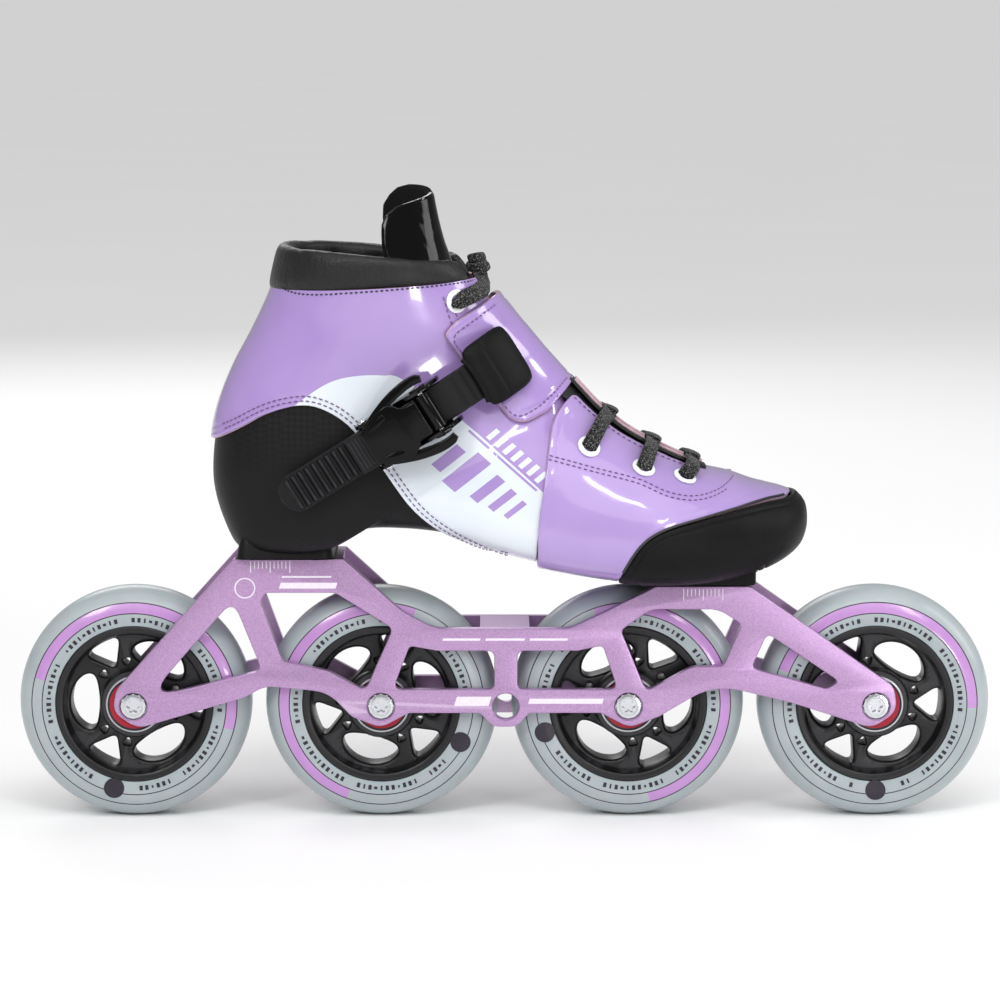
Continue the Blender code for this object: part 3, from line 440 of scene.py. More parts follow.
def make_materials():
    made = {}

    n = Nodes("tyre_urethane", (168, 177, 180), 0.34, Subsurface_Weight=0.32, Subsurface_Scale=0.004,
              Coat_Weight=0.15, Coat_Roughness=0.2)
    n.blend(n.noise(9, 3), (158, 168, 172), (176, 184, 187))
    n.rough(n.noise(2.4), 0.27, 0.42)
    n.bump(n.noise(0.5, 2), 0.012)
    made["tyre"] = n.material

    n = Nodes("print_purple", (186, 138, 199), 0.24, Coat_Weight=0.4)
    n.blend(n.noise(6), (179, 130, 193), (194, 148, 206))
    n.bump(n.noise(0.4), 0.006)
    made["print_purple"] = n.material

    # Black print on the tyres; the bearings also use this black as painted shade in the groove between the
    # race's lip and the seal.
    n = Nodes("print_and_shade_black", (30, 22, 34), 0.4)
    n.blend(n.noise(3), (24, 18, 28), (44, 34, 50))
    n.bump(n.noise(0.4), 0.006)
    made["print_and_shade_black"] = n.material

    n = Nodes("hub_plastic", (22, 22, 24), 0.34, Coat_Weight=0.1, Coat_Roughness=0.3,
              Specular_IOR_Level=0.35)
    n.blend(n.noise(3.5, 4), (10, 10, 12), (19, 19, 21))
    n.rough(n.noise(1.6, 4), 0.28, 0.46)
    n.bump(n.noise(0.35, 2), 0.02)
    n.wear((74, 74, 78), 0.3)
    made["hub"] = n.material

    n = Nodes("steel", (216, 217, 220), 0.24, 1.0)
    n.blend(n.noise(1.1, 5), (204, 206, 210), (228, 229, 232))
    n.rough(n.noise(0.5, 4), 0.18, 0.32)
    n.bump(n.noise(0.5, 3), 0.012)
    made["steel"] = n.material

    n = Nodes("bright_steel", (214, 215, 218), 0.2, 1.0)
    n.rough(n.noise(0.8, 3), 0.12, 0.3)
    n.bump(n.waves(0.16, distortion=1.2, direction="Y"), 0.004)
    n.blend(n.noise(2.2), (196, 197, 201), (224, 225, 228))
    made["bright_steel"] = n.material

    n = Nodes("bearing_seal", (178, 16, 44), 0.4)
    n.blend(n.noise(1.8), (164, 12, 36), (188, 24, 52))
    n.bump(n.noise(0.5), 0.02)
    made["seal"] = n.material

    n = Nodes("alloy", (196, 197, 201), 0.34, 1.0)
    n.blend(n.noise(1.5), (182, 183, 188), (206, 207, 210))
    n.rough(n.noise(0.6, 4), 0.26, 0.44)
    n.bump(n.waves(0.2, distortion=0.6, direction="Y"), 0.005)
    made["alloy"] = n.material

    n = Nodes("frame_anodised", (180, 140, 187), 0.36, 0.72, Coat_Weight=0.25, Coat_Roughness=0.18)
    fine = n.noise(0.42, 2, 0.6)
    speck = n.spread(fine, 0, 1, 0.38, 0.62)
    base = n.blend(n.noise(34, 2), (171, 131, 180), (183, 144, 190), entry=None)
    n.blend(n.math("MULTIPLY", speck, 0.42), base, (218, 192, 224))
    n.rough(fine, 0.26, 0.46)
    n.bump(n.noise(0.36, 2, 0.6), 0.03)
    n.wear((236, 216, 240), 0.45)
    made["frame"] = n.material

    n = Nodes("frame_print", (238, 228, 242), 0.35)
    n.blend(n.noise(1.5), (226, 212, 232), (246, 240, 248))
    n.bump(n.noise(0.3), 0.01)
    made["frame_print"] = n.material

    made["lilac"] = patent("patent_lilac", (172, 144, 205), (164, 136, 199))
    made["lilac_light"] = patent("patent_lilac_light", (177, 150, 209), (169, 142, 203))
    made["white"] = patent("patent_white", (228, 234, 241), (219, 227, 236))

    n = Nodes("raw_edge", (206, 172, 186), 0.75)
    n.blend(n.noise(0.9, 4), (190, 152, 168), (224, 194, 200))
    n.bump(n.noise(0.35, 3), 0.06)
    made["raw_edge"] = n.material

    n = Nodes("thread_purple", (118, 80, 138), 0.55, Sheen_Weight=0.3)
    n.blend(n.noise(0.7), (94, 58, 112), (134, 92, 150))
    n.bump(n.waves(0.16, n.stretched(1, 1, 1, (0.6, 0.7, 0.8))), 0.04)
    made["thread"] = n.material

    n = Nodes("thread_black", (22, 20, 22), 0.6, Sheen_Weight=0.2)
    n.blend(n.noise(0.7), (14, 13, 15), (38, 35, 38))
    n.bump(n.waves(0.16, n.stretched(1, 1, 1, (0.6, 0.7, 0.8))), 0.04)
    made["thread_black"] = n.material

    n = Nodes("collar_leather", (14, 14, 15), 0.42, Coat_Weight=0.12, Coat_Roughness=0.3,
              Specular_IOR_Level=0.35)
    wrinkle = n.noise(1.5, 3, 0.55, n.stretched(1, 1, 0.16))
    n.blend(n.noise(1.4, 4), (8, 8, 9), (24, 24, 26))
    n.rough(n.noise(1.1, 3), 0.34, 0.56)
    n.bump(wrinkle, 0.42)
    n.bump(n.cells(0.62), 0.12)
    made["leather"] = n.material

    n = Nodes("tongue_patent", (4, 4, 5), 0.1, Coat_Weight=0.3, Coat_Roughness=0.02, Specular_IOR_Level=0.1)
    n.blend(n.noise(7), (2, 2, 3), (7, 7, 8))
    n.rough(n.noise(4), 0.06, 0.16)
    n.bump(n.noise(8, 2), 0.55)
    made["patent_black"] = n.material

    n = Nodes("lining_fabric", (16, 16, 18), 0.9, Sheen_Weight=0.06, Sheen_Roughness=0.5,
              Specular_IOR_Level=0.15)
    n.blend(n.noise(0.8, 4), (10, 10, 12), (26, 26, 28))
    knit = n.math("MULTIPLY", n.waves(0.55), n.waves(0.55, direction="Z"))
    n.bump(knit, 0.16)
    n.bump(n.noise(0.3, 4), 0.08)
    made["lining"] = n.material

    n = Nodes("heel_composite", (16, 16, 17), 0.46, Coat_Weight=0.04, Coat_Roughness=0.3,
              Specular_IOR_Level=0.2)
    tilt = n.stretched(1, 1, 1, (0, math.radians(45), 0))
    check = n.new("TexChecker", Scale=1 / (1.7 * MM))
    n.join(tilt, check.inputs["Vector"])
    height = n.new("SeparateXYZ")
    n.join(n.place, height.inputs[0])
    upper = n.spread(height.outputs["Z"], 0, 1, 0.132, 0.158)
    weave = n.math("MULTIPLY", check.outputs["Fac"], upper)
    n.blend(n.math("MULTIPLY", weave, 0.6), (13, 12, 14), (27, 26, 29))
    n.rough(n.noise(1.4, 4), 0.36, 0.54)
    n.bump(n.noise(0.42, 3), 0.035)
    n.bump(weave, 0.012)
    made["carbon"] = n.material

    n = Nodes("moulded_rubber", (15, 15, 16), 0.46, Coat_Weight=0.02, Coat_Roughness=0.4,
              Specular_IOR_Level=0.12)
    n.blend(n.noise(4, 4), (12, 12, 13), (19, 19, 20))
    n.rough(n.noise(1.8, 3), 0.38, 0.58)
    n.bump(n.noise(0.32, 3), 0.03)
    made["rubber"] = n.material

    n = Nodes("sole_line", (40, 40, 42), 0.5)
    n.blend(n.noise(1.6), (34, 34, 36), (50, 50, 52))
    n.bump(n.noise(0.4), 0.02)
    made["sole_line"] = n.material

    n = Nodes("lace_fabric", (20, 20, 20), 0.86, Sheen_Weight=0.1, Specular_IOR_Level=0.2)
    weave = n.math("MULTIPLY", n.waves(0.34, n.stretched(1, 1, 1, (0.5, 0.6, 0.4))),
                   n.waves(0.34, n.stretched(1, 1, 1, (-0.5, 0.9, -0.4))))
    fleck = n.spread(n.noise(0.5, 2, 0.7), 0, 1, 0.56, 0.64)
    n.blend(fleck, (10, 10, 11), (150, 150, 148))
    n.bump(weave, 0.22)
    made["lace"] = n.material

    n = Nodes("eyelet_white", (238, 240, 243), 0.3, Coat_Weight=0.2)
    n.blend(n.noise(1.2), (230, 233, 237), (244, 246, 248))
    n.bump(n.noise(0.6), 0.01)
    made["eyelet"] = n.material

    n = Nodes("ladder_plastic", (18, 18, 20), 0.42, Coat_Weight=0.03, Coat_Roughness=0.35,
              Specular_IOR_Level=0.2)
    n.blend(n.noise(3.0, 4), (14, 14, 16), (23, 23, 25))
    n.rough(n.noise(1.1, 3), 0.36, 0.54)
    n.bump(n.noise(0.3, 2), 0.02)
    n.wear((88, 88, 92), 0.35)
    made["strap"] = n.material

    n = Nodes("buckle_plastic", (4, 4, 5), 0.14, Coat_Weight=0.16, Coat_Roughness=0.05,
              Specular_IOR_Level=0.12)
    n.blend(n.noise(2.8), (2, 2, 3), (7, 7, 8))
    n.rough(n.noise(1.4), 0.09, 0.22)
    n.bump(n.noise(1.6), 0.02)
    n.wear((60, 60, 64), 0.3)
    made["buckle"] = n.material

    n = Nodes("studio_floor", (252, 252, 252), 0.9)
    n.blend(n.noise(300), (250, 250, 250), (254, 254, 254))
    made["floor"] = n.material
    return made


# ---------------------------------------------------------------- camera, floor and light


def add_camera():
    camera_data = bpy.data.cameras.new("Camera")
    camera_data.sensor_width = 36
    camera_data.lens = 139.8
    camera_data.clip_start, camera_data.clip_end = 0.05, 90
    camera = link("Camera", camera_data)
    target = Vector((-1.784, 0, 122.99)) * MM
    azimuth, elevation, distance = math.radians(-0.18), math.radians(7.88), 1.5
    back = Vector((math.sin(azimuth) * math.cos(elevation), -math.cos(azimuth) * math.cos(elevation),
                   math.sin(elevation)))
    camera.location = target + back * distance
    camera.rotation_mode = "QUATERNION"
    camera.rotation_quaternion = (-back).to_track_quat("-Z", "Y")
    bpy.context.scene.camera = camera


def add_light(name, place, size, power, target=(0, 0, 0.11)):
    data = bpy.data.lights.new(name, "AREA")
    data.shape = "RECTANGLE"
    data.size, data.size_y = size
    data.energy = power
    light = link(name, data)
    light.location = place
    light.rotation_mode = "QUATERNION"
    light.rotation_quaternion = (Vector(target) - Vector(place)).to_track_quat("-Z", "Y")


def add_mirrored_light(name, spot, normal, distance, size, power):
    """A soft box that the camera sees mirrored at a place on the boot, in millimetres."""
    spot, normal = Vector(spot) * MM, Vector(normal)
    view = (bpy.context.scene.camera.location - spot).normalized()
    away = 2 * normal.dot(view) * normal - view
    add_light(name, spot + away * distance, size, power, spot)


def add_studio(paint):
    shape = bmesh.new()
    bmesh.ops.create_circle(shape, cap_ends=True, segments=96, radius=70)
    mesh = bpy.data.meshes.new("floor")
    shape.to_mesh(mesh)
    shape.free()
    floor = link("floor", mesh, [paint["floor"]])
    world = bpy.data.worlds.new("studio")
    world.use_nodes = True
    background = world.node_tree.nodes["Background"]
    background.inputs["Color"].default_value = (1, 1, 1, 1)
    background.inputs["Strength"].default_value = 0.31
    bpy.context.scene.world = world
    bpy.context.scene.view_settings.view_transform = "Standard"
    sun_data = bpy.data.lights.new("broad_top_light", "SUN")
    sun_data.energy = 1.3
    sun_data.angle = math.radians(75)
    sun = link("broad_top_light", sun_data)
    sun.rotation_euler = (math.radians(28), 0, math.radians(-12))
    add_light("key_softbox", (-0.75, -1.35, 1.0), (0.3, 0.44), 5.5)
    add_light("side_softbox", (0.75, -1.5, 0.95), (0.2, 0.44), 3.5)
    add_light("strip_softbox", (0.15, -1.1, 1.5), (0.8, 0.14), 4)
    add_light("back_softbox", (-0.4, 1.5, 0.9), (0.9, 0.6), 5)
    add_light("front_softbox", (1.5, -0.1, 0.75), (0.5, 0.8), 6)
    for k, (x, z, width, height, power) in enumerate(((-40.4, 192.5, 0.3, 0.13, 2.6),
                                                      (-28, 176, 0.2, 0.17, 2.2),
                                                      (96, 119, 0.16, 0.1, 1.0))):
        place_on, normal = on_side(x, z, NEAR, QUARTER[1])
        add_mirrored_light(f"highlight_{k}", place_on, normal, 1.3, (width, height), power)


# ---------------------------------------------------------------- wheels

DISC_RADIUS, DISC_LIFT, DISC_SKIRT = 4.0, 0.14, 0.1
TYRE_ROUND = ((30.6, 11.0), (33, 11.55), (35.3, 11.7), (35.7, 11.69), (37.5, 11.3), (39.4, 10.56),
              (39.8, 10.36),
              (41, 9.7), (42.5, 8.3), (43.8, 6.4), (44.6, 4.3), (44.95, 2.2), (45, 0))
INNER_RING, BAND, OUTER_RING = (2,), (3, 4), (5,)


def on_wheel(x, radius, turn, along, centre_z=45.0):
    """A point at a distance from a wheel's axis, turned from +X towards +Z, along the outer side."""
    return Vector((x / MM + radius * math.cos(turn), -along, centre_z + radius * math.sin(turn))) * MM


def tyre_depth(radius):
    """How far out the tyre's side stands at a radius."""
    radii, depths = zip(*TYRE_ROUND)
    return float(np.interp(radius, radii, depths))


def add_tyre(number, x, band, paint):
    """The urethane ring, with two thin printed rings on both sides and a purple band between them."""
    half = list(TYRE_ROUND)
    profile = half + [(radius, -along) for radius, along in reversed(half[:-1])]
    last = len(profile) - 1
    start, end = (math.radians(angle) % TURN / TURN for angle in band)

    def pick(segment, turn):
        if segment in INNER_RING + OUTER_RING or last - 1 - segment in INNER_RING + OUTER_RING:
            return 1
        inside = (turn - start) % 1.0 < (end - start) % 1.0
        if inside and (segment in BAND or last - 1 - segment in BAND):
            return 2
        return 0

    tyre = turned(f"urethane_tyre_{number}", profile, 144,
                  [paint["tyre"], paint["print_and_shade_black"], paint["print_purple"]],
                  (x, 0, 45 * MM), pick)
    place(tyre, f"wheel_{number}", "wheel_urethane", f"wheel_{number}_tyre")


def add_tyre_marks(number, x, disc_angle, paint):
    """Plain marks in place of the wheel's lettering: a ring of short dashes and a dark disc, on both
    sides."""
    points, faces = [], []
    lift = 0.09
    dashes = 92
    middle = on_wheel(x, 34.0, math.radians(disc_angle), 0) / MM
    for side in (NEAR, FAR):
        for k in range(dashes):
            apart = abs((math.degrees(TURN * k / dashes) - disc_angle + 180) % 360 - 180)
            if k % 13 in (11, 12) or apart < 15:
                continue
            wide = 0.62 if k % 3 else 0.34
            low, high = (32.1, 33.9) if k % 4 else (32.5, 33.5)
            corners = []
            for radius in (low, (low + high) / 2, high):
                for turn in (-wide, wide):
                    out = tyre_depth(radius) + lift
                    corners.append(on_wheel(x, radius, TURN * k / dashes + turn / 33, -out * side))
            first = len(points)
            points += corners + [corner - Vector((0, side * 0.2 * MM, 0)) for corner in corners]
            faces += [(first, first + 1, first + 3, first + 2), (first + 2, first + 3, first + 5, first + 4)]
            rim = (0, 1, 3, 5, 4, 2)
            faces += [(first + a, first + b, first + 6 + b, first + 6 + a)
                      for a, b in zip(rim, rim[1:] + rim[:1])]
        first = len(points)
        for radius in (0.01, 1.0, 2.0, 3.0, 3.9, 4.0):
            for point in circle(middle.x, middle.z, radius, 40):
                above = DISC_LIFT if radius < DISC_RADIUS else -DISC_SKIRT
                out = tyre_depth(math.hypot(point.x - x / MM, point.y - 45)) + above
                points.append(Vector((point.x, out * side, point.y)) * MM)
        for ring in range(5):
            for k in range(40):
                a, b = first + ring * 40 + k, first + ring * 40 + (k + 1) % 40
                faces.append((a, b, b + 40, a + 40))
    marks = build(f"tyre_marks_{number}", points, faces, [paint["print_and_shade_black"]])
    place(marks, f"wheel_{number}", None)


def hub_windows():
    """Three long ovals and three rounded triangles between the spokes, and a small hole at each spoke's
    root."""
    windows = []
    triangle = rounded([(25.3, 7.7, 2.4), (26.4, 0, 20), (25.3, -7.7, 2.4), (15.0, 0, 1.8)], 5)
    hole = rounded([(17.4, 2.0, 0.8), (17.4, -2.0, 0.8), (13.9, 0, 0.8)], 3)
    for k in range(3):
        turn = math.radians(120 * k)
        oval = []
        for j in range(44):
            a = TURN * j / 44
            bend = math.radians(32.5) * math.sin(a)
            radius = 19.5 + 5.5 * math.cos(a) * (1 - 0.1 * math.sin(a) ** 2)
            oval.append((radius * math.cos(bend), radius * math.sin(bend)))
        windows.append([spun(point, turn) for point in oval])
        windows.append([spun(point, turn + math.radians(60)) for point in triangle])
        for side in (-1, 1):
            windows.append([spun(point, turn + side * math.radians(41.5)) for point in hole])
    return windows


def spun(point, turn):
    x, z = point
    return (x * math.cos(turn) - z * math.sin(turn), x * math.sin(turn) + z * math.cos(turn))


def add_hub(number, x, window_angle, paint):
    web = turned(f"moulded_hub_{number}", [(0.01, 6.4), (26.9, 6.4), (26.9, -6.4), (0.01, -6.4)], 96, [])
    flare = [(-15, -2.0), (-6.45, -2.0), *[(-6.4 + 1.9 * (1 - math.cos(a)), -1.9 * (1 - math.sin(a)))
                                          for a in (math.pi / 2 * k / 5 for k in range(1, 6))]]
    flare += [(-at, inset) for at, inset in reversed(flare)]
    for window in hub_windows():
        slim = 0.8 if len(window) > 30 else 0.6 if len(window) > 16 else 0.25
        levels = [(at, inset * slim) for at, inset in flare]
        web = cut(web, loft("window", window, levels, lambda a, b, at: Vector((a, at, b)) * MM, []))
    bore = turned("bore", [(0.01, 14), (10.95, 14), (10.95, 4.9), (9, 4.9), (9, -4.9), (10.95, -4.9),
                           (10.95, -14),
                           (0.01, -14)], 48, [])
    boss_half = [(13.6, 5.2), (13.4, 9.6), (12.9, 11.1), (12.4, 11.55), (10.9, 11.55)]
    boss = [*boss_half, (9.0, 4.9), (9.0, -4.9), *[(radius, -along)
                                                   for radius, along in reversed(boss_half)]]
    rim_half = [(30.45, 0.0), (30.45, 10.9), (29.9, 11.35), (28.6, 11.35), (27.7, 10.9), (26.9, 9.0),
                (26.3, 6.3),
                (26.1, 3.0)]
    rim = [*rim_half, *[(radius, -along) for radius, along in reversed(rim_half[1:])]]
    hub = cut(web, turned("boss", boss, 48, []), "UNION")
    hub = cut(hub, turned("rim", rim, 96, []), "UNION")
    hub = cut(hub, bore)
    turn = Matrix.Rotation(-math.radians(window_angle), 4, "Y")
    hub.data.transform(Matrix.Translation((x, 0, 45 * MM)) @ turn)
    hub.data.materials.clear()
    hub.data.materials.append(paint["hub"])
    shade(hub.data, 32)
    place(hub, f"wheel_{number}", "hub_plastic", f"wheel_{number}_hub")


def add_bearing(number, x, side, paint):
    """One bearing: the bright outer race with its red seal turns with the hub, the inner race stays."""
    where = "outer" if side == NEAR else "inner"
    start, end = 5.1, 12.1
    race = [(11, start), (11, end - 0.25), (10.75, end), (10.3, end), (10.2, end - 0.45), (9.5, end - 0.6),
            (6.5, end - 0.4), (6.3, end - 0.5), (6.3, end - 1.3), (9, end - 1.3), (9, start)]
    inner = [(5.9, start), (5.9, end - 0.2), (5.75, end), (4.2, end), (4.0, end - 0.2), (4.0, start)]
    pieces = (
        (f"{where}_bearing_{number}", race, [paint["alloy"], paint["seal"], paint["print_and_shade_black"]],
         # Faces 3 and 4, the groove between the race's lip and the seal, are painted black as shade; faces 5
         # to 7 are the red seal.
         lambda segment, turn: {3: 2, 4: 2, 5: 1, 6: 1, 7: 1}.get(segment, 0), f"wheel_{number}",
         "bearing_seal",
         "bearing_race"),
        (f"{where}_bearing_core_{number}", inner, [paint["bright_steel"]], None, "skate", "steel",
         "bearing_inner_race"),
    )
    for name, profile, materials, pick, body, slot, node in pieces:
        profile = [(radius, -side * along) for radius, along in profile]
        piece = turned(name, profile, 48, materials, (x, 0, 45 * MM), pick)
        place(piece, body, slot, f"wheel_{number}_{where}_{node}")


def add_axle(number, x, paint):
    """The one-piece axle bolt: a bevelled head with a six-lobed socket, and a threaded end."""
    head = [(3.65, 12.45), (4.75, 12.45), (4.9, 12.7), (4.9, 15.7), (4.7, 16.15), (3.75, 16.3), (3.6, 16.1),
            (3.3, 16.1), (3.15, 16.3)]
    thread = [(3.65 - 0.22 * (k % 2), -12.6 - 0.45 * k) for k in range(8)]
    profile = [*reversed(head), *thread, (3.1, -16.4), (0.01, -16.4)]
    profile = [(0.01, 16.3), *profile]
    axle = turned(f"axle_bolt_{number}", profile, 48, [paint["steel"]], (x, 0, 45 * MM), closed=False)
    lobes = [((2.25 + 0.45 * math.cos(6 * a)) * math.cos(a), (2.25 + 0.45 * math.cos(6 * a)) * math.sin(a))
             for a in (TURN * k / 72 for k in range(72))]
    socket = plate("socket", [lobes], 1.3, 0.0, -15.9)
    socket.data.transform(Matrix.Translation((x, 0, 45 * MM)))
    cut(axle, socket)
    for k in range(12):
        notch = turned("notch", [(0.01, 1), (0.42, 1), (0.42, -1), (0.01, -1)], 8, [])
        notch.data.transform(Matrix.Translation(on_wheel(x, 4.85, TURN * k / 12, 16.6)))
        cut(axle, notch)
    axle.data.materials.clear()
    axle.data.materials.append(paint["steel"])
    shade(axle.data, 30)
    place(axle, "skate", "steel", f"wheel_{number}_axle")
    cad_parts[f"wheel_{number}_spacer"].data.materials.clear()
    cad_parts[f"wheel_{number}_spacer"].data.materials.append(paint["alloy"])


def add_wheels(paint):
    window_angles = (60, 16, 116, 57)
    bands = ((-15, 165), (70, 249), (-77, 110), (-3, 160))
    discs = (256, 334, 199, 271)
    for number in range(1, 5):
        x = centre_of(f"wheel_{number}_tyre").x
        add_tyre(number, x, bands[number - 1], paint)
        add_tyre_marks(number, x, discs[number - 1], paint)
        add_hub(number, x, window_angles[number - 1], paint)
        for side in (NEAR, FAR):
            add_bearing(number, x, side, paint)
        add_axle(number, x, paint)


# ---------------------------------------------------------------- frame


def frame_outline():
    corners = [
        (-103.7, 102.6, 1), (-61.7, 102.6, 1), (-39.4, 82.1, 30), (-27, 75.5, 14), (25, 75.5, 10),
        (40, 82.6, 20), (57.9, 91.8, 2), (93.9, 91.8, 4), (149.9, 52.5, 7), (151.2, 43, 7.5),
        (141.6, 36.3, 9), (110, 46.5, 10), (80.5, 53.6, 26), (59.5, 41, 6), (48, 36.6, 8), (37, 42.4, 3),
        (9.5, 42.4, 2), (4.5, 37, 6), (-4.5, 37, 6), (-9.5, 42.4, 2), (-37, 42.4, 3), (-47.7, 36.6, 8),
        (-59, 41, 6), (-68, 50.6, 16), (-92, 53, 12), (-100, 48.6, 8), (-141.5, 36.3, 9),
        (-151, 43, 7.5), (-149.5, 51.5, 7),
    ]
    return rounded(corners)


def frame_windows():
    triangle = [(-104.2, 86.5, 4), (-93.4, 59.2, 3), (-138, 47.9, 4.5)]
    rear_arch = [
        (-91.8, 89.3, 2), (-65, 89.3, 6), (-43, 75.4, 3), (-53.6, 51.2, 3), (-68, 59, 10), (-85.4, 62.8, 3),
        (-93.8, 86, 2),
    ]
    rear_slot = [(-36.5, 68.6, 2), (-26, 66.7, 3), (-4, 66.7, 3), (-4, 51.7, 2.5), (-43, 51.7, 2.5)]
    front_slot = [(4.9, 66.7, 3), (28, 66.7, 3), (37.6, 68.7, 2), (43.4, 51.7, 2.5), (4.9, 51.7, 2.5)]
    front_arch = [
        (44.6, 74.6, 2.5), (56, 82.8, 10), (82, 82.8, 12), (91, 77, 2.5), (84, 60.6, 3), (72, 60.6, 10),
        (54.3, 50.8, 3),
    ]
    front_triangle = [(100.8, 73.5, 2.5), (128.8, 54.6, 2.5), (123.8, 51.8, 2), (94.8, 59.8, 2.5)]
    return [rounded(corners) for corners in (triangle, rear_arch, rear_slot, front_slot, front_arch,
                                             front_triangle)]


def add_frame(paint):
    """The frame again with round corners and bevelled edges: two walls joined by two decks and a bridge."""
    wall, channel = 16.5, 13.0
    body = plate("skate_frame", [frame_outline(), *frame_windows()], wall, 0.55)
    low, high = 25, 120
    space = [
        (-160, low), (160, low), (160, high), (93.5, high), (93.5, 87.2), (64, 87.2), (64, high),
        (9.5, high), (9.5, 71.5), (-9.5, 71.5), (-9.5, high), (-62, high), (-62, 97.4), (-103, 97.4),
        (-103, high), (-160, high),
    ]
    body = cut(body, plate("channel", [space], channel))
    third = centre_of("wheel_3_tyre").x / MM
    body = cut(body, plate("wheel_space", [circle(third, 45, 46.6, 72)], channel - 0.02))
    for number in range(1, 5):
        x = centre_of(f"wheel_{number}_tyre").x
        for side in (NEAR, FAR):
            low, high = channel - 1.6, channel + 0.5
            profile = [(0.01, low), (6.0, low), (6.3, low + 0.3), (6.3, high), (0.01, high)]
            boss = turned("boss", [(r, -side * a) for r, a in profile], 40, [], (x, 0, 45 * MM))
            body = cut(body, boss, "UNION")
    for x, radius in [*[(centre_of(f"wheel_{k}_tyre").x / MM, 5.2) for k in range(1, 5)], (0.4, 5.0)]:
        hole = [(0.01, 18), (radius + 0.9, 18), (radius + 0.3, 16.1), (radius, 15.8), (radius, 8), (4.0, 8),
                (4.0, -18), (0.01, -18)]
        body = cut(body, turned("hole", hole, 48, [], (x * MM, 0, 45 * MM)))
    rear_x = centre_of("rear_mount_bolt").x / MM
    front_x = centre_of("front_mount_bolt").x / MM
    for x_low, x_high, y_half, z_low, z_high in ((rear_x, rear_x, 4, 95, 106),
                                                 (front_x, front_x + 12, 0.01, 80, 95)):
        body = cut(body, deck_slot(x_low, x_high, y_half, z_low, z_high))
    body.data.materials.clear()
    body.data.materials.append(paint["frame"])
    shade(body.data, 24)
    place(body, "skate", "frame", "frame")


def deck_slot(x_low, x_high, y_half, low, high, radius=3.4):
    outline = rounded([
        (x_low - radius, -y_half - radius, radius), (x_high + radius, -y_half - radius, radius),
        (x_high + radius, y_half + radius, radius), (x_low - radius, y_half + radius, radius),
    ], 8)
    return loft("slot", outline, [(low, 0), (high, 0)], lambda a, b, at: Vector((a, b, at)) * MM, [])


def mark(points, faces, corners, y, depth=0.1):
    """Adds a thin flat mark to a list of points and faces: corners are (x, z) on the wall at y."""
    count, first = len(corners), len(points)
    side = 1 if y > 0 else -1
    for out in (0.04, -depth):
        points += [Vector((x, y + side * out, z)) * MM for x, z in corners]
    faces.append(tuple(range(first, first + count)))
    faces.append(tuple(range(first + 2 * count - 1, first + count - 1, -1)))
    faces += [(first + k, first + (k + 1) % count, first + count + (k + 1) % count, first + count + k)
              for k in range(count)]


def add_frame_marks(paint):
    """Position scales under both decks, a plain ring, and plain bars where the frame carries lettering."""
    points, faces = [], []
    for y in (-16.5, 16.5):
        for start, top in ((-97.5, 101.6), (68.4, 90.8)):
            for k in range(11):
                x = start + 1.5 * k
                low = top - (4.4 if k % 5 == 0 else 2.8)
                mark(points, faces, [(x, top), (x + 0.38, top), (x + 0.38, low), (x, low)], y)
        ring = [(p.x, p.y) for p in circle(-99.6, 91.2, 4.0, 40)]
        inner = [(p.x, p.y) for p in circle(-99.6, 91.2, 3.55, 40)]
        for k in range(40):
            j = (k + 1) % 40
            mark(points, faces, [ring[k], ring[j], inner[j], inner[k]], y)
        for start, end, z, tall in ((-86.5, -64.8, 92.2, 2.3), (-85.5, -66.5, 95.6, 0.7),
                                    (-19.5, -6.2, 47.1, 3.6),
                                    (9.0, 37.5, 47.1, 2.0), (-24, -9.5, 71.2, 0.9), (-7.5, 7.5, 71.2, 0.9),
                                    (9.5, 24, 71.2, 0.9)):
            lean = 0.3 * tall
            mark(points, faces, [(start, z - tall / 2), (end, z - tall / 2), (end + lean, z + tall / 2),
                                 (start + lean, z + tall / 2)], y)
    marks = build("frame_marks", points, faces, [paint["frame_print"]])
    place(marks, "skate", "frame")


def add_mounting(paint):
    """The bolts, washers and inserts between the decks and the boot keep their CAD shape, with fine
    edges."""
    bodies = {"rear": "skate", "front": "boot_front"}
    for end in bodies:
        for node, key in ((f"{end}_mount_bolt", "steel"), (f"{end}_mount_washer", "steel"),
                          (f"{end}_threaded_insert", "alloy")):
            repaint(node, paint[key])


def repaint(node, material, bevel=0.12):
    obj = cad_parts[node]
    obj.data.materials.clear()
    obj.data.materials.append(material)
    for polygon in obj.data.polygons:
        polygon.material_index = 0
    shade(obj.data, 32)
    return bevelled(obj, bevel, 2, 32)


# ---------------------------------------------------------------- the boot's surface, in millimetres

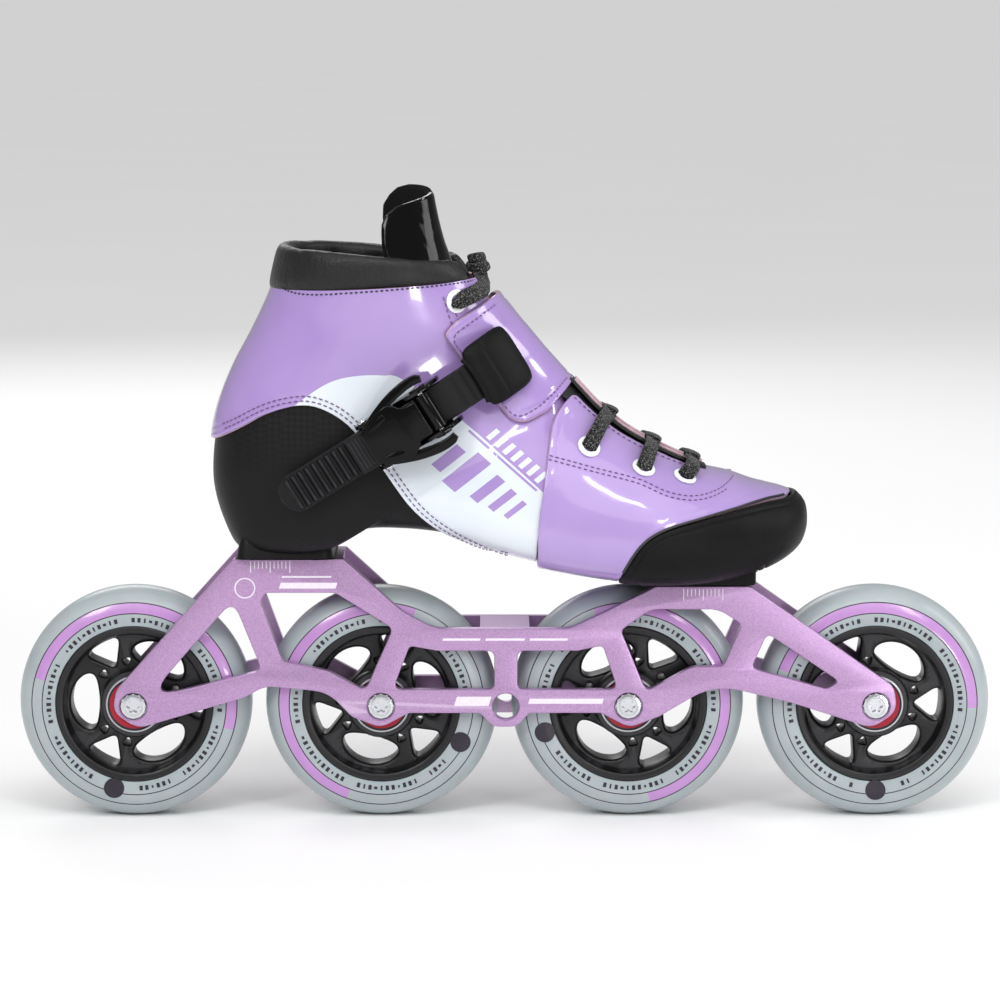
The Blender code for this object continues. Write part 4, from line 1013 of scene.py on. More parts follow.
# The CAD model's rings, from the collar to the toe: back x, z, front x, z, half width, where along the ring
# it is
# widest, and the roundness of the back and of the front end, 2 being an ellipse.
RINGS = (
    (-83.5, 222.5, -17.0, 217.0, 32.5, 0.50, 2.3, 2.3),
    (-88.0, 205.5, -10.5, 209.5, 32.5, 0.50, 2.3, 2.3),
    (-95.0, 190.0, -5.5, 201.0, 32.0, 0.50, 2.3, 2.2),
    (-102.7, 175.5, -1.5, 196.0, 31.5, 0.48, 2.3, 2.2),
    (-108.5, 161.0, 2.0, 191.5, 31.0, 0.46, 2.4, 2.1),
    (-111.5, 147.0, 5.0, 188.0, 30.8, 0.44, 2.5, 2.1),
    (-112.0, 131.0, 7.5, 185.0, 30.8, 0.42, 2.6, 2.1),
    (-108.0, 116.0, 10.0, 182.0, 31.0, 0.42, 2.7, 2.1),
    (-101.5, 105.5, 12.5, 179.0, 31.5, 0.42, 3.0, 2.1),
    (-88.0, 103.5, 17.0, 174.0, 32.0, 0.42, 3.6, 2.1),
    (-70.0, 105.0, 22.0, 168.5, 32.5, 0.42, 3.6, 2.1),
    (-57.0, 113.0, 26.5, 163.5, 33.0, 0.42, 3.4, 2.1),
    (-40.0, 114.0, 31.5, 158.0, 33.5, 0.40, 3.4, 2.1),
    (-22.0, 112.0, 37.5, 152.5, 34.2, 0.38, 3.4, 2.1),
    (-4.0, 107.0, 44.0, 147.5, 35.2, 0.36, 3.4, 2.1),
    (14.0, 102.5, 51.5, 143.0, 36.6, 0.36, 3.4, 2.1),
    (32.0, 99.5, 59.5, 139.0, 37.8, 0.36, 3.4, 2.1),
    (50.0, 97.5, 68.5, 135.0, 38.2, 0.36, 3.4, 2.1),
    (67.0, 97.0, 77.5, 132.0, 37.0, 0.38, 3.4, 2.1),
    (82.0, 98.0, 86.0, 130.0, 34.0, 0.40, 3.2, 2.1),
    (95.0, 100.5, 95.0, 126.8, 29.0, 0.42, 3.0, 2.1),
    (104.0, 103.8, 104.0, 124.6, 23.0, 0.45, 2.6, 2.1),
    (110.0, 108.0, 110.0, 122.4, 15.0, 0.50, 2.4, 2.2),
    (112.3, 112.5, 112.4, 119.5, 6.0, 0.50, 2.2, 2.2),
)
ROWS = np.array(RINGS)
TOE_SHIFT, TOE_SHIFT_START, TOE_SHIFT_LENGTH = 5.0, 45.0, 70.0
LAST_RING = 22.9

# The boot's layers, measured outwards from that surface
SHELL = (-2.2, 0.0)
QUARTER = (0.3, 1.9)
VAMP = (2.4, 4.0)
TOE_CAP = (2.3, 4.6)
LINING = (-5.6, -3.1)
FOOTBED = (-12.6, -9.8)
STRAP = (2.8, 4.8)
SOLE = (2.3, 4.7)


def ring_values(u):
    last = len(ROWS) - 1
    u = np.clip(u, 0, last)
    k = np.minimum(u.astype(int), last - 1)
    rows = (ROWS[np.maximum(k - 1, 0)], ROWS[k], ROWS[k + 1], ROWS[np.minimum(k + 2, last)])
    return np.moveaxis(catmull_rom(*rows, (u - k)[..., None]), -1, 0)


def surface(u, v):
    """Points of the reference surface. v runs from the top line (-1) down the outer side to the bottom line
    (0)
    and up the inner side to the top line again (1)."""
    u, v = np.broadcast_arrays(np.asarray(u, float), np.asarray(v, float))
    back_x, back_z, front_x, front_z, half, widest, back_round, front_round = ring_values(u)
    angle = np.abs(v) * np.pi
    cos, sin = np.cos(angle), np.maximum(np.sin(angle), 0)
    rear = cos > 0
    power = 2 / np.where(rear, back_round, front_round)
    reach = np.abs(cos) ** power
    along = np.where(rear, widest * (1 - reach), widest + (1 - widest) * reach)
    x = back_x + (front_x - back_x) * along
    z = back_z + (front_z - back_z) * along
    shift = np.clip((x - TOE_SHIFT_START) / TOE_SHIFT_LENGTH, 0, 1)
    y = np.sign(v) * half * sin**power + TOE_SHIFT * shift**2 * (3 - 2 * shift)
    return np.stack([x, y, z], -1)


def even_sides(u, columns):
    """Values of v round the ring at u, from the top line, that stand at even distances."""
    fine = np.linspace(0, 1, 801)
    steps = np.linalg.norm(np.diff(surface(u, fine), axis=0), axis=1)
    length = np.concatenate([[0], np.cumsum(steps)])
    half = np.interp(np.linspace(0, length[-1], columns // 2 + 1), length, fine)
    return np.concatenate([-half[::-1], half[1:-1]])


def lattice(first, last, per_ring=6, columns=120):
    """Points and normals of the reference surface between two rings, rows along it and columns round it."""
    us = np.linspace(first, last, max(int(round((last - first) * per_ring)), 2) + 1)
    places = np.array([surface(u, even_sides(u, columns)) for u in us])
    along = np.gradient(places, axis=0)
    around = np.roll(places, -1, 1) - np.roll(places, 1, 1)
    normals = -np.cross(along, around)
    return places, normals / np.maximum(np.linalg.norm(normals, axis=-1, keepdims=True), 1e-9)


SKINS = {}


def skin(offset):
    """A tree of the surface at an offset, for laying things on it."""
    if offset not in SKINS:
        places, normals = lattice(0, LAST_RING, 4, 112)
        rows, columns = places.shape[:2]
        points = (places + normals * offset).reshape(-1, 3)
        SKINS[offset] = BVHTree.FromPolygons(points.tolist(), grid_faces(rows, columns))
    return SKINS[offset]


def grid_faces(rows, columns, wrap=True):
    faces = []
    for i in range(rows - 1):
        for j in range(columns if wrap else columns - 1):
            a, b = i * columns + j, i * columns + (j + 1) % columns
            faces.append([a, b, b + columns, a + columns])
    return faces


def on_side(x, z, side, offset):
    """The place where the surface at an offset stands at x, z on one side, and its normal."""
    place, normal, _, _ = skin(offset).ray_cast(Vector((x, side * 150, z)), Vector((0, -side, 0)))
    if place is None:
        place, normal, _, _ = skin(offset).find_nearest(Vector((x, side * 30, z)))
    return place, normal if normal.y * side > 0 else -normal


INSTEP_START = Vector((-17, 0, 217))
INSTEP_DOWN = (Vector((77.5, 0, 131.5)) - INSTEP_START).normalized()
INSTEP_UP = Vector((-INSTEP_DOWN.z, 0, INSTEP_DOWN.x))


def on_instep(down, y, offset):
    """The same, seen square to the instep: down along it from the top of the throat."""
    start = INSTEP_START + INSTEP_DOWN * down + Vector((0, y, 0)) + INSTEP_UP * 60
    place, normal, _, _ = skin(offset).ray_cast(start, -INSTEP_UP)
    return place, normal if normal.dot(INSTEP_UP) > 0 else -normal


def inside_distance(outline, places):
    """Distances of places to a closed outline, positive inside it."""
    outline = np.array([tuple(point) for point in outline], float)
    nearest = np.full(len(places), 1e9)
    inside = np.zeros(len(places), bool)
    for (ax, az), (bx, bz) in zip(outline, np.roll(outline, -1, 0)):
        edge = np.array([bx - ax, bz - az])
        off = places - (ax, az)
        t = np.clip(off @ edge / max(edge @ edge, 1e-12), 0, 1)
        nearest = np.minimum(nearest, np.linalg.norm(off - t[:, None] * edge, axis=1))
        if az != bz:
            crossing = (az > places[:, 1]) != (bz > places[:, 1])
            inside ^= crossing & (places[:, 0] < (bx - ax) * (places[:, 1] - az) / (bz - az) + ax)
    return np.where(inside, nearest, -nearest)


def side_field(outline):
    return lambda points: inside_distance(outline, points[:, [0, 2]])


def throat_outline(top_half, middle_half, end_half, length):
    return rounded([
        (-40, -top_half - 4, 2), (20, -middle_half - 2, 6), (length - 30, -middle_half, 6),
        (length, -end_half, 5),
        (length + 4, 0, 4), (length, end_half, 5), (length - 30, middle_half, 6), (20, middle_half + 2, 6),
        (-40, top_half + 4, 2),
    ])


def throat_field(outline):
    """Distance outside the throat's opening, seen square to the instep."""
    start, down, up = (np.array(part) for part in (INSTEP_START, INSTEP_DOWN, INSTEP_UP))

    def field(points):
        away = points - start
        places = np.stack([away @ down, points[:, 1]], -1)
        return np.where(away @ up > -26, -inside_distance(outline, places), 99)

    return field


def all_of(*fields):
    return lambda points: np.min([field(points) for field in fields], axis=0)


def split(data, faces, values, level=0.0, drop=False):
    """Cuts faces along a level of the values at their corners, dropping what lies below it if asked."""
    data = list(data)
    above = values > level
    made, kept = {}, []
    for face in faces:
        sides = [above[k] for k in face]
        if all(sides) or not any(sides):
            if sides[0] or not drop:
                kept.append(face)
            continue
        high, low = [], []
        for a, b in zip(face, face[1:] + face[:1]):
            (high if above[a] else low).append(a)
            if above[a] != above[b]:
                key = (min(a, b), max(a, b))
                if key not in made:
                    made[key] = len(data)
                    data.append(data[a]
                                + (data[b] - data[a]) * (level - values[a]) / (values[b] - values[a]))
                high.append(made[key])
                low.append(made[key])
        kept.append(high)
        if not drop:
            kept.append(low)
    return np.array(data), kept


def panel(name, layer, span, field_of, materials, zones=(), grooves=(), roll=0.55, swell=None, per_ring=6,
          columns=120, edge_pick=0):
    """A piece of one of the boot's layers, cut to a field, its outer edge rolled over.

    zones are fields: where one is positive the face takes its material, counted from 1. A groove is a
    distance
    from the edge, a half width and a depth. swell gives a further offset at points. The cut edge and the
    underside take the material at edge_pick."""
    inner, outer = layer
    places, normals = lattice(*span, per_ring, columns)
    rows, columns = places.shape[:2]
    data = np.concatenate([places, normals], -1).reshape(-1, 6)
    faces = grid_faces(rows, columns)
    if span[1] >= LAST_RING:
        tip = data[-columns:].mean(0)
        tip[3:] /= max(np.linalg.norm(tip[3:]), 1e-9)
        data = np.vstack([data, tip])
        faces += [[(rows - 1) * columns + j, (rows - 1) * columns + (j + 1) % columns, rows * columns]
                  for j in range(columns)]

    def stand(table):
        return table[:, :3] + table[:, 3:6] * outer

    data = np.hstack([data, field_of(stand(data))[:, None]])
    data, faces = split(data, faces, data[:, 6], 0.0, True)
    levels = {roll * part for part in (0.12, 0.4, 1.0)}
    for distance, half, _ in grooves:
        levels |= {distance - half, distance, distance + half}
    for level in sorted(levels):
        data, faces = split(data, faces, data[:, 6], level)
    for zone in zones:
        data, faces = split(data, faces, zone(stand(data)))
    used = sorted({k for face in faces for k in face})
    number = {k: n for n, k in enumerate(used)}
    faces = [[number[k] for k in face] for face in faces]
    data = data[used]
    edge = np.clip(data[:, 6], 0, None)
    sunk = np.where(edge < roll, roll - np.sqrt(np.maximum(roll**2 - (roll - np.minimum(edge, roll)) ** 2,
                                                           0)), 0)
    for distance, half, depth in grooves:
        sunk = sunk + depth * np.clip(1 - np.abs(edge - distance) / half, 0, 1)
    extra = swell(stand(data)) if swell else 0
    top = data[:, :3] + data[:, 3:6] * (outer - sunk + extra)[:, None]
    low = data[:, :3] + data[:, 3:6] * (inner + extra + 0 * sunk)[:, None]
    count = len(top)
    middles = np.array([top[face].mean(0) for face in faces])
    picks = np.zeros(len(faces), int)
    for n, zone in enumerate(zones):
        picks[zone(middles) > 0] = n + 1
    uses = defaultdict(int)
    for face in faces:
        for a, b in zip(face, face[1:] + face[:1]):
            uses[(a, b)] += 1
    rims = [(a, b) for a, b in uses if (b, a) not in uses]
    everything = faces + [[count + k for k in reversed(face)] for face in faces]
    everything += [(b, a, count + a, count + b) for a, b in rims]
    picks = np.concatenate([picks, np.full(len(faces) + len(rims), edge_pick)])
    obj = build(name, np.vstack([top, low]) * MM, everything, materials, picks, repair=False)
    shape = bmesh.new()
    shape.from_mesh(obj.data)
    bmesh.ops.remove_doubles(shape, verts=shape.verts, dist=0.04 * MM)
    bmesh.ops.recalc_face_normals(shape, faces=shape.faces)
    shape.to_mesh(obj.data)
    shape.free()
    shade(obj.data, 42)
    return obj


# ---------------------------------------------------------------- seams, cords and small things on the boot


def evenly(path, pitch):
    """Resamples a path of (place, normal) at even distances."""
    places = np.array([tuple(place) for place, _ in path])
    normals = np.array([tuple(normal) for _, normal in path])
    length = np.concatenate([[0], np.cumsum(np.linalg.norm(np.diff(places, axis=0), axis=1))])
    count = max(int(length[-1] / pitch), 2)
    stops = np.linspace(0, length[-1], count + 1)
    place = np.stack([np.interp(stops, length, places[:, k]) for k in range(3)], -1)
    normal = np.stack([np.interp(stops, length, normals[:, k]) for k in range(3)], -1)
    return place, normal / np.linalg.norm(normal, axis=1, keepdims=True)


def side_path(outline, side, offset, per_span=6, bend=True):
    curve = spline(outline, per_span) if bend else [np.array(point, float) for point in outline]
    return [on_side(x, z, side, offset) for x, z in curve]


def instep_path(outline, offset, per_span=6):
    return [on_instep(down, y, offset) for down, y in spline(outline, per_span)]


def stitches(name, paths, material, body, pitch=2.3, length=1.65, radius=0.24, lift=0.1):
    """Rows of thread stitches along paths, as one piece."""
    points, faces = [], []
    sections = ((0.0, 0.35, -0.7), (0.18, 0.9, 0.3), (0.5, 1.0, 0.75), (0.82, 0.9, 0.3), (1.0, 0.35, -0.7))
    sides = 6
    for path in paths:
        places, normals = evenly(path, pitch)
        for k in range(len(places) - 1):
            along = places[k + 1] - places[k]
            run = along / np.linalg.norm(along)
            normal = normals[k]
            across = np.cross(run, normal)
            across /= np.linalg.norm(across)
            first = len(points)
            for t, wide, high in sections:
                middle = places[k] + run * (0.3 + t * length) + normal * (lift + radius * high)
                for j in range(sides):
                    a = TURN * j / sides
                    points.append(middle + (across * math.cos(a) + normal * math.sin(a)) * radius * wide)
            for i in range(len(sections) - 1):
                for j in range(sides):
                    a, b = first + i * sides + j, first + i * sides + (j + 1) % sides
                    faces.append((a, b, b + sides, a + sides))
            faces.append(tuple(first + j for j in reversed(range(sides))))
            faces.append(tuple(first + (len(sections) - 1) * sides + j for j in range(sides)))
    obj = build(name, np.array(points) * MM, faces, [material], repair=False)
    face_out(obj.data)
    return place(obj, body, None)


def swept(name, path, half, thick, material, pitch=1.2, sides=14, power=2.6, widths=None, turns=None):
    """A flat cord along a path of (place, normal): half its width, half its thickness."""
    places, normals = evenly(path, pitch)
    count = len(places)
    runs = np.gradient(places, axis=0)
    runs /= np.linalg.norm(runs, axis=1, keepdims=True)
    across = np.cross(runs, normals)
    across /= np.linalg.norm(across, axis=1, keepdims=True)
    up = np.cross(across, runs)
    points, faces = [], []
    for k in range(count):
        wide = half * (widths(k / (count - 1)) if widths else 1)
        twist = turns(k / (count - 1)) if turns else 0
        side = across[k] * math.cos(twist) + up[k] * math.sin(twist)
        rise = up[k] * math.cos(twist) - across[k] * math.sin(twist)
        for j in range(sides):
            a = TURN * j / sides
            c, s = math.cos(a), math.sin(a)
            points.append(places[k] + side * wide * math.copysign(abs(c) ** (2 / power), c)
                          + rise * thick * math.copysign(abs(s) ** (2 / power), s))
    for k in range(count - 1):
        for j in range(sides):
            a, b = k * sides + j, k * sides + (j + 1) % sides
            faces.append((a, b, b + sides, a + sides))
    faces.append(tuple(reversed(range(sides))))
    faces.append(tuple((count - 1) * sides + j for j in range(sides)))
    return build(name, np.array(points) * MM, faces, [material], angle=60)


def ring_on(name, spot, profile, steps, material):
    """A turned ring on the boot: its profile is (radius, height) over the place, along the normal."""
    middle, normal = spot
    turn = Vector((0, -1, 0)).rotation_difference(Vector(normal)).to_matrix().to_4x4()
    obj = turned(name, profile, steps, [material])
    obj.data.transform(Matrix.Translation(Vector(middle) * MM) @ turn)
    return obj


# ---------------------------------------------------------------- boot outlines, in side view


def lower_edge(rise=0.0):
    points = [
        (-122, 144), (-112, 148.5), (-100, 154.6), (-89.5, 160.2), (-75, 163.4), (-62.6, 158.6), (-53, 149),
        (-45.5, 138.3), (-35.9, 125), (-26.4, 116), (-14, 108), (0, 101.5), (14, 96), (30, 88),
    ]
    return [(x, z + rise) for x, z in spline(points, 4)]


def toe_cap_edge():
    return [tuple(point) for point in spline([
        (118, 128.5), (109, 125.9), (100, 125.2), (88, 123.2), (74.1, 120.2), (59.6, 116.2), (51, 110),
        (44.2, 98),
        (42, 88),
    ], 5)]


VAMP_REAR = ((12.5, 85), (12.3, 109), (12.8, 120.5), (14.6, 132), (16.8, 147.5), (18.5, 156), (22.5, 162.5),
             (28.5, 167.5))
WHITE_TOP = ((-86, 158), (-73.1, 167.9), (-64.4, 172.8), (-54.8, 174.7), (-45.3, 174.7), (-38.6, 173.2),
             (-16.7, 157.8), (14.9, 130.3), (40, 108))
COLLAR_SEAM = ((-92, 209.5), (-87.6, 208.2), (-75.9, 205.6), (-54.8, 206.8), (-35.7, 208.2), (-9, 210.1))


def white_field():
    """The white panel between its curved top boundary and the upper's lower edge."""
    return side_field([*[tuple(point) for point in spline(WHITE_TOP, 5)], (60, 60), (-86, 60)])


def slanted(along, across):
    """A place on the white panel, along its slope towards the sole and across it."""
    slope = math.radians(-41)
    x = -15 + along * math.cos(slope) - across * math.sin(slope)
    return x, 140 + along * math.sin(slope) + across * math.cos(slope)


def slanted_marks():
    """Plain slanted bars on the outer side, in place of the panel's own graphics: lilac ones on the white,
    then
    white ones on the lilac. A bar is its four corners in side view."""
    lilac, white = [], []
    for bars, places in ((lilac, ((-7, -1.5, 4.5, 12), (1.5, -1.0, 6.5, 17), (11.5, -0.5, 4.0, 13),
                                  (18.5, 0, 3.0, 11),
                                  (24.5, 0.5, 2.2, 9), (9, 11.2, 34, 0.9))),
                         (white, ((0, 16, 2.0, 5), (4, 16, 2.0, 5), (8, 16, 2.0, 5), (12, 16, 2.0, 5),
                                  (16, 16, 2.0, 5), (20, 16, 2.0, 5), (24, 16, 2.0, 5)))):
        for along, across, long, wide in places:
            bars.append([slanted(along + a * long / 2 + 0.2 * b * wide / 2, across + b * wide / 2)
                         for a, b in ((-1, -1), (1, -1), (1, 1), (-1, 1))])
    return lilac, white


def decal(name, bars, side, offset, material, body):
    """Thin printed bars that lie on the boot's surface, as one piece."""
    points, faces = [], []
    rows, columns = 9, 15
    for bar in bars:
        a, b, c, d = (np.array(corner) for corner in bar)
        first = len(points)
        for lift in (0.05, -0.25):
            for i in range(rows):
                for j in range(columns):
                    s, t = i / (rows - 1), j / (columns - 1)
                    x, z = (a * (1 - s) + b * s) * (1 - t) + (d * (1 - s) + c * s) * t
                    spot, normal = on_side(x, z, side, offset)
                    points.append(spot + normal * lift)
        size = rows * columns
        grid = grid_faces(rows, columns, False)
        rim = grid_rim(rows, columns)
        faces += [[first + k for k in face] for face in grid]
        faces += [[first + size + k for k in reversed(face)] for face in grid]
        faces += [[first + q, first + p, first + size + p, first + size + q]
                  for p, q in zip(rim, rim[1:] + rim[:1])]
    return place(build(name, np.array([tuple(p) for p in points]) * MM, faces, [material], angle=60), body,
                 None)


def grid_rim(rows, columns):
    """The numbers of a grid's outer points, in order."""
    rim = list(range(columns)) + [i * columns + columns - 1 for i in range(1, rows)]
    rim += [(rows - 1) * columns + j for j in range(columns - 2, -1, -1)]
    return rim + [i * columns for i in range(rows - 2, 0, -1)]


# ---------------------------------------------------------------- boot, rear half


def add_heel_shell(paint):
    outline = [(-125, 85), *lower_edge(8)[:-16], (8, 112), (41, 108), (41, 85)]

    def tuck(points):
        return -0.8 * np.clip((points[:, 0] - 18.5) / 6, 0, 1)

    shell = panel("heel_shell_skin", SHELL, (3, LAST_RING), side_field(outline), [paint["carbon"]], roll=0.4,
                  swell=tuck)
    place(shell, "skate", "heel_composite", "heel_shell")
    foot = rounded([(-102.5, -21, 5), (-65.5, -21, 5), (-65.5, 21, 5), (-102.5, 21, 5)], 6)
    flare = [(102.9, -0.6), (103.3, -0.1), (103.8, 0), (108, 0.7), (111, 1.6), (115, 3.4)]
    base = loft("heel_base", foot, flare, lambda a, b, at: Vector((a, b, at)) * MM,
                [paint["carbon"]])
    hole = turned("hole", [(0.01, 95), (5.9, 95), (5.9, 111.2), (0.01, 111.2)], 40, [],
                  (centre_of("rear_mount_bolt").x, 0, 0), axis="Z")
    cut(base, hole)
    base.data.materials.clear()
    base.data.materials.append(paint["carbon"])
    shade(base.data, 30)
    place(base, "skate", "heel_composite", "heel_shell")


def slab_box(name, low, high, corner, edge, material):
    """A box with round upright corners and bevelled edges, in millimetres."""
    outline = rounded([(low[0], low[1], corner), (high[0], low[1], corner), (high[0], high[1], corner),
                       (low[0], high[1], corner)], 6)
    return loft(name, outline, round_levels(low[2], high[2], edge), lambda a, b, at: Vector((a, b, at)) * MM,
                [material])


def add_quarter(paint):
    outline = [*lower_edge()[:-8], (11.5, 97), (12.5, 114), (39, 114), (48, 160), (40, 250), (-130, 250)]
    field = all_of(side_field(outline), throat_field(throat_outline(15, 10, 8, 118)))

    def tuck(points):
        return -1.5 * np.clip((points[:, 0] - 18.5) / 6, 0, 1)

    quarter = panel("quarter_upper", QUARTER, (1.0, 20.5), field,
                    [paint["lilac"], paint["white"], paint["raw_edge"]], [white_field()],
                    [(1.7, 0.6, 0.12), (3.5, 0.6, 0.12)], swell=tuck, edge_pick=2)
    place(quarter, "skate", "patent_upper", "upper_quarter")
    lilac, white = slanted_marks()
    decal("panel_bars_lilac", lilac, NEAR, QUARTER[1], paint["lilac"], "skate")
    decal("panel_bars_white", white, NEAR, QUARTER[1], paint["white"], "skate")

    edge = lower_edge()
    rows = []
    for side in (NEAR, FAR):
        for distance in (1.7, 3.5):
            rows.append(side_path(shifted(edge[6:-7], distance)[::2], side, QUARTER[1]))
        rows.append(side_path([(-20.6, 204.6), (-17.2, 194), (-11.6, 184)], side, QUARTER[1]))
        rows.append(side_path([(-23.4, 204.4), (-19.8, 193), (-14.4, 182.6)], side, QUARTER[1]))
    stitches("quarter_edge_stitching", rows, paint["thread"], "skate")
    seam = [side_path([(x, z - 0.6) for x, z in COLLAR_SEAM[1:]], side, QUARTER[1]) for side in (NEAR, FAR)]
    stitches("collar_seam_stitching", seam, paint["thread_black"], "skate", 1.9, 1.3, 0.3)


def shifted(curve, distance):
    """A side-view curve moved over to its left by a distance."""
    curve = np.array([tuple(point) for point in curve], float)
    runs = np.gradient(curve, axis=0)
    runs /= np.linalg.norm(runs, axis=1, keepdims=True)
    return curve + np.stack([-runs[:, 1], runs[:, 0]], -1) * distance


def ribbons(name, paths, half, thick, material, body):
    """Thin round-edged bands along paths, as one piece."""
    parts = [swept(f"{name}_{k}", path, half, thick, material, 1.5, 8) for k, path in enumerate(paths)]
    obj = joined(name, parts, [material])
    shade(obj.data, 50)
    return place(obj, body, None)


def add_collar(paint):
    """The padded collar: a fat roll round the ankle, open at the tongue, its cover drawn by a cloth run."""
    columns, sections = 110, 30
    low_u, high_u = 0.0, 1.05
    points = []
    reach = 0.86
    for i in range(columns):
        part = i / (columns - 1)
        end = min(part, 1 - part) * (columns - 1)
        slim = min(1.0, 0.35 + 0.65 * math.sqrt(min(end, 4) / 4))
        for j in range(sections):
            a = TURN * j / sections
            c, s = math.cos(a), math.sin(a)
            along = math.copysign(abs(c) ** (2 / 3.2), c)
            out = math.copysign(abs(s) ** (2 / 2.6), s)
            u = (low_u + high_u) / 2 + (high_u - low_u) / 2 * along
            v = -reach + 2 * reach * part
            offset = -1.55 + 3.5 * out * slim
            points.append(point_at(u, v, offset))
    faces = []
    for i in range(columns - 1):
        for j in range(sections):
            a, b = i * sections + j, i * sections + (j + 1) % sections
            faces.append((a, b, b + sections, a + sections))
    faces.append(tuple(reversed(range(sections))))
    faces.append(tuple((columns - 1) * sections + j for j in range(sections)))
    collar = build("collar_padding", np.array(points) * MM, faces, [paint["leather"]], angle=70)
    puffed(collar, 2.3, 1.3)
    place(collar, "skate", "collar_leather", "padded_collar")


def point_at(u, v, offset):
    """One point at an offset from the reference surface, in millimetres."""
    along = surface(min(u + 0.05, 23), v) - surface(max(u - 0.05, 0), v)
    around = surface(u, wrapped(v + 0.02)) - surface(u, wrapped(v - 0.02))
    normal = -np.cross(along, around)
    return surface(u, v) + normal / max(np.linalg.norm(normal), 1e-9) * offset


def wrapped(v):
    return (v + 1) % 2 - 1 if abs(v) > 1 else v


def puffed(obj, size, cap, pressure=4.0, frames=20):
    """Gives a padded piece the look of a filled cover by a short cloth run, moved by no more than the
    cap."""
    sheet = obj.copy()
    sheet.data = obj.data.copy()
    bpy.context.scene.collection.objects.link(sheet)
    remesh = sheet.modifiers.new("Even", "REMESH")
    remesh.mode = "VOXEL"
    remesh.voxel_size = size * MM * 0.5
    mesh = evaluated(sheet)
    sheet.modifiers.clear()
    sheet.data = mesh
    before = vertex_places(mesh)
    cloth = sheet.modifiers.new("Cloth", "CLOTH")
    settings = cloth.settings
    settings.quality = 5
    settings.mass = 0.15
    settings.tension_stiffness = settings.compression_stiffness = 12
    settings.bending_stiffness = 0.4
    settings.use_pressure = True
    settings.uniform_pressure_force = pressure
    settings.effector_weights.gravity = 0
    settings.shrink_min = -0.05
    cloth.collision_settings.use_collision = False
    scene = bpy.context.scene
    cloth.point_cache.frame_start, cloth.point_cache.frame_end = 1, frames
    for number in range(1, frames + 1):
        scene.frame_set(number)
    after = vertex_places(evaluated(sheet))
    scene.frame_set(1)
    move = after - before
    length = np.linalg.norm(move, axis=1, keepdims=True)
    move *= np.minimum(1, cap * MM / np.maximum(length, 1e-12))
    sheet.modifiers.clear()
    sheet.data.vertices.foreach_set("co", (before + move).ravel())
    smooth = sheet.modifiers.new("Smooth", "CORRECTIVE_SMOOTH")
    smooth.iterations = 3
    smooth.use_only_smooth = True
    fine = sheet.modifiers.new("Fine", "SUBSURF")
    fine.levels = fine.render_levels = 1
    mesh = evaluated(sheet)
    mesh.materials.clear()
    for material in obj.data.materials:
        mesh.materials.append(material)
    obj.data = mesh
    obj.data.shade_smooth()
    bpy.data.objects.remove(sheet, do_unlink=True)
    return obj


def vertex_places(mesh):
    places = np.empty(len(mesh.vertices) * 3)
    mesh.vertices.foreach_get("co", places)
    return places.reshape(-1, 3)


def add_lining(paint):
    outline = [(-130, 85), (62, 85), (62, 250), (-130, 250)]
    heel = [(-104, 80), (-104, 112.4), (-62, 112.4), (-62, 80)]
    seat = side_field(heel)
    field = all_of(side_field(outline), throat_field(throat_outline(22, 20, 16, 140)),
                   lambda points: np.where(np.abs(points[:, 1]) < 22, -seat(points), 9))
    lining = panel("inner_lining_sock", LINING, (0.95, 21), field, [paint["lining"]], per_ring=4, columns=96)
    place(lining, "skate", "lining_fabric", "inner_lining")


def add_footbed(paint):
    """The footbed: a soft contoured sole with a turned-up edge."""
    rows, columns = 70, 25
    points = []
    for offset in (FOOTBED[1], FOOTBED[0]):
        for i in range(rows):
            u = 8.9 + 10.3 * i / (rows - 1)
            sides = even_sides(u, 240)
            half = len(sides) // 2
            for j in range(columns):
                step = int(round((j / (columns - 1) * 2 - 1) * 24))
                v = sides[half + step] if step else 0.0
                rim = abs(j / (columns - 1) * 2 - 1) ** 6
                slim = (FOOTBED[0] + FOOTBED[1]) / 2
                points.append(point_at(u, v, slim + (offset - slim) * (1 - 0.6 * rim)))
    footbed = slab("footbed_cushion", points, rows, columns, paint["lining"])
    place(footbed, "skate", "lining_fabric", "footbed")


def slab(name, points, rows, columns, material):
    """A closed piece from two grids of points, in millimetres, joined round their edges."""
    size = rows * columns
    faces = [face for face in grid_faces(rows, columns, False)]
    faces += [[size + k for k in reversed(face)] for face in faces]
    rim = grid_rim(rows, columns)
    faces += [[b, a, size + a, size + b] for a, b in zip(rim, rim[1:] + rim[:1])]
    return build(name, np.array([tuple(point) for point in points]) * MM, faces, [material], angle=60)


TONGUE_TOP = ((-1, 228.6), (-0.97, 233.8), (-0.91, 237.2), (-0.78, 239.6), (-0.5, 240.4), (-0.2, 241.2),
              (0, 241.8),
              (0.2, 243.4), (0.46, 245.2), (0.63, 246.3), (0.765, 246.1), (0.86, 244), (0.95, 239.3),
              (1, 228.8))


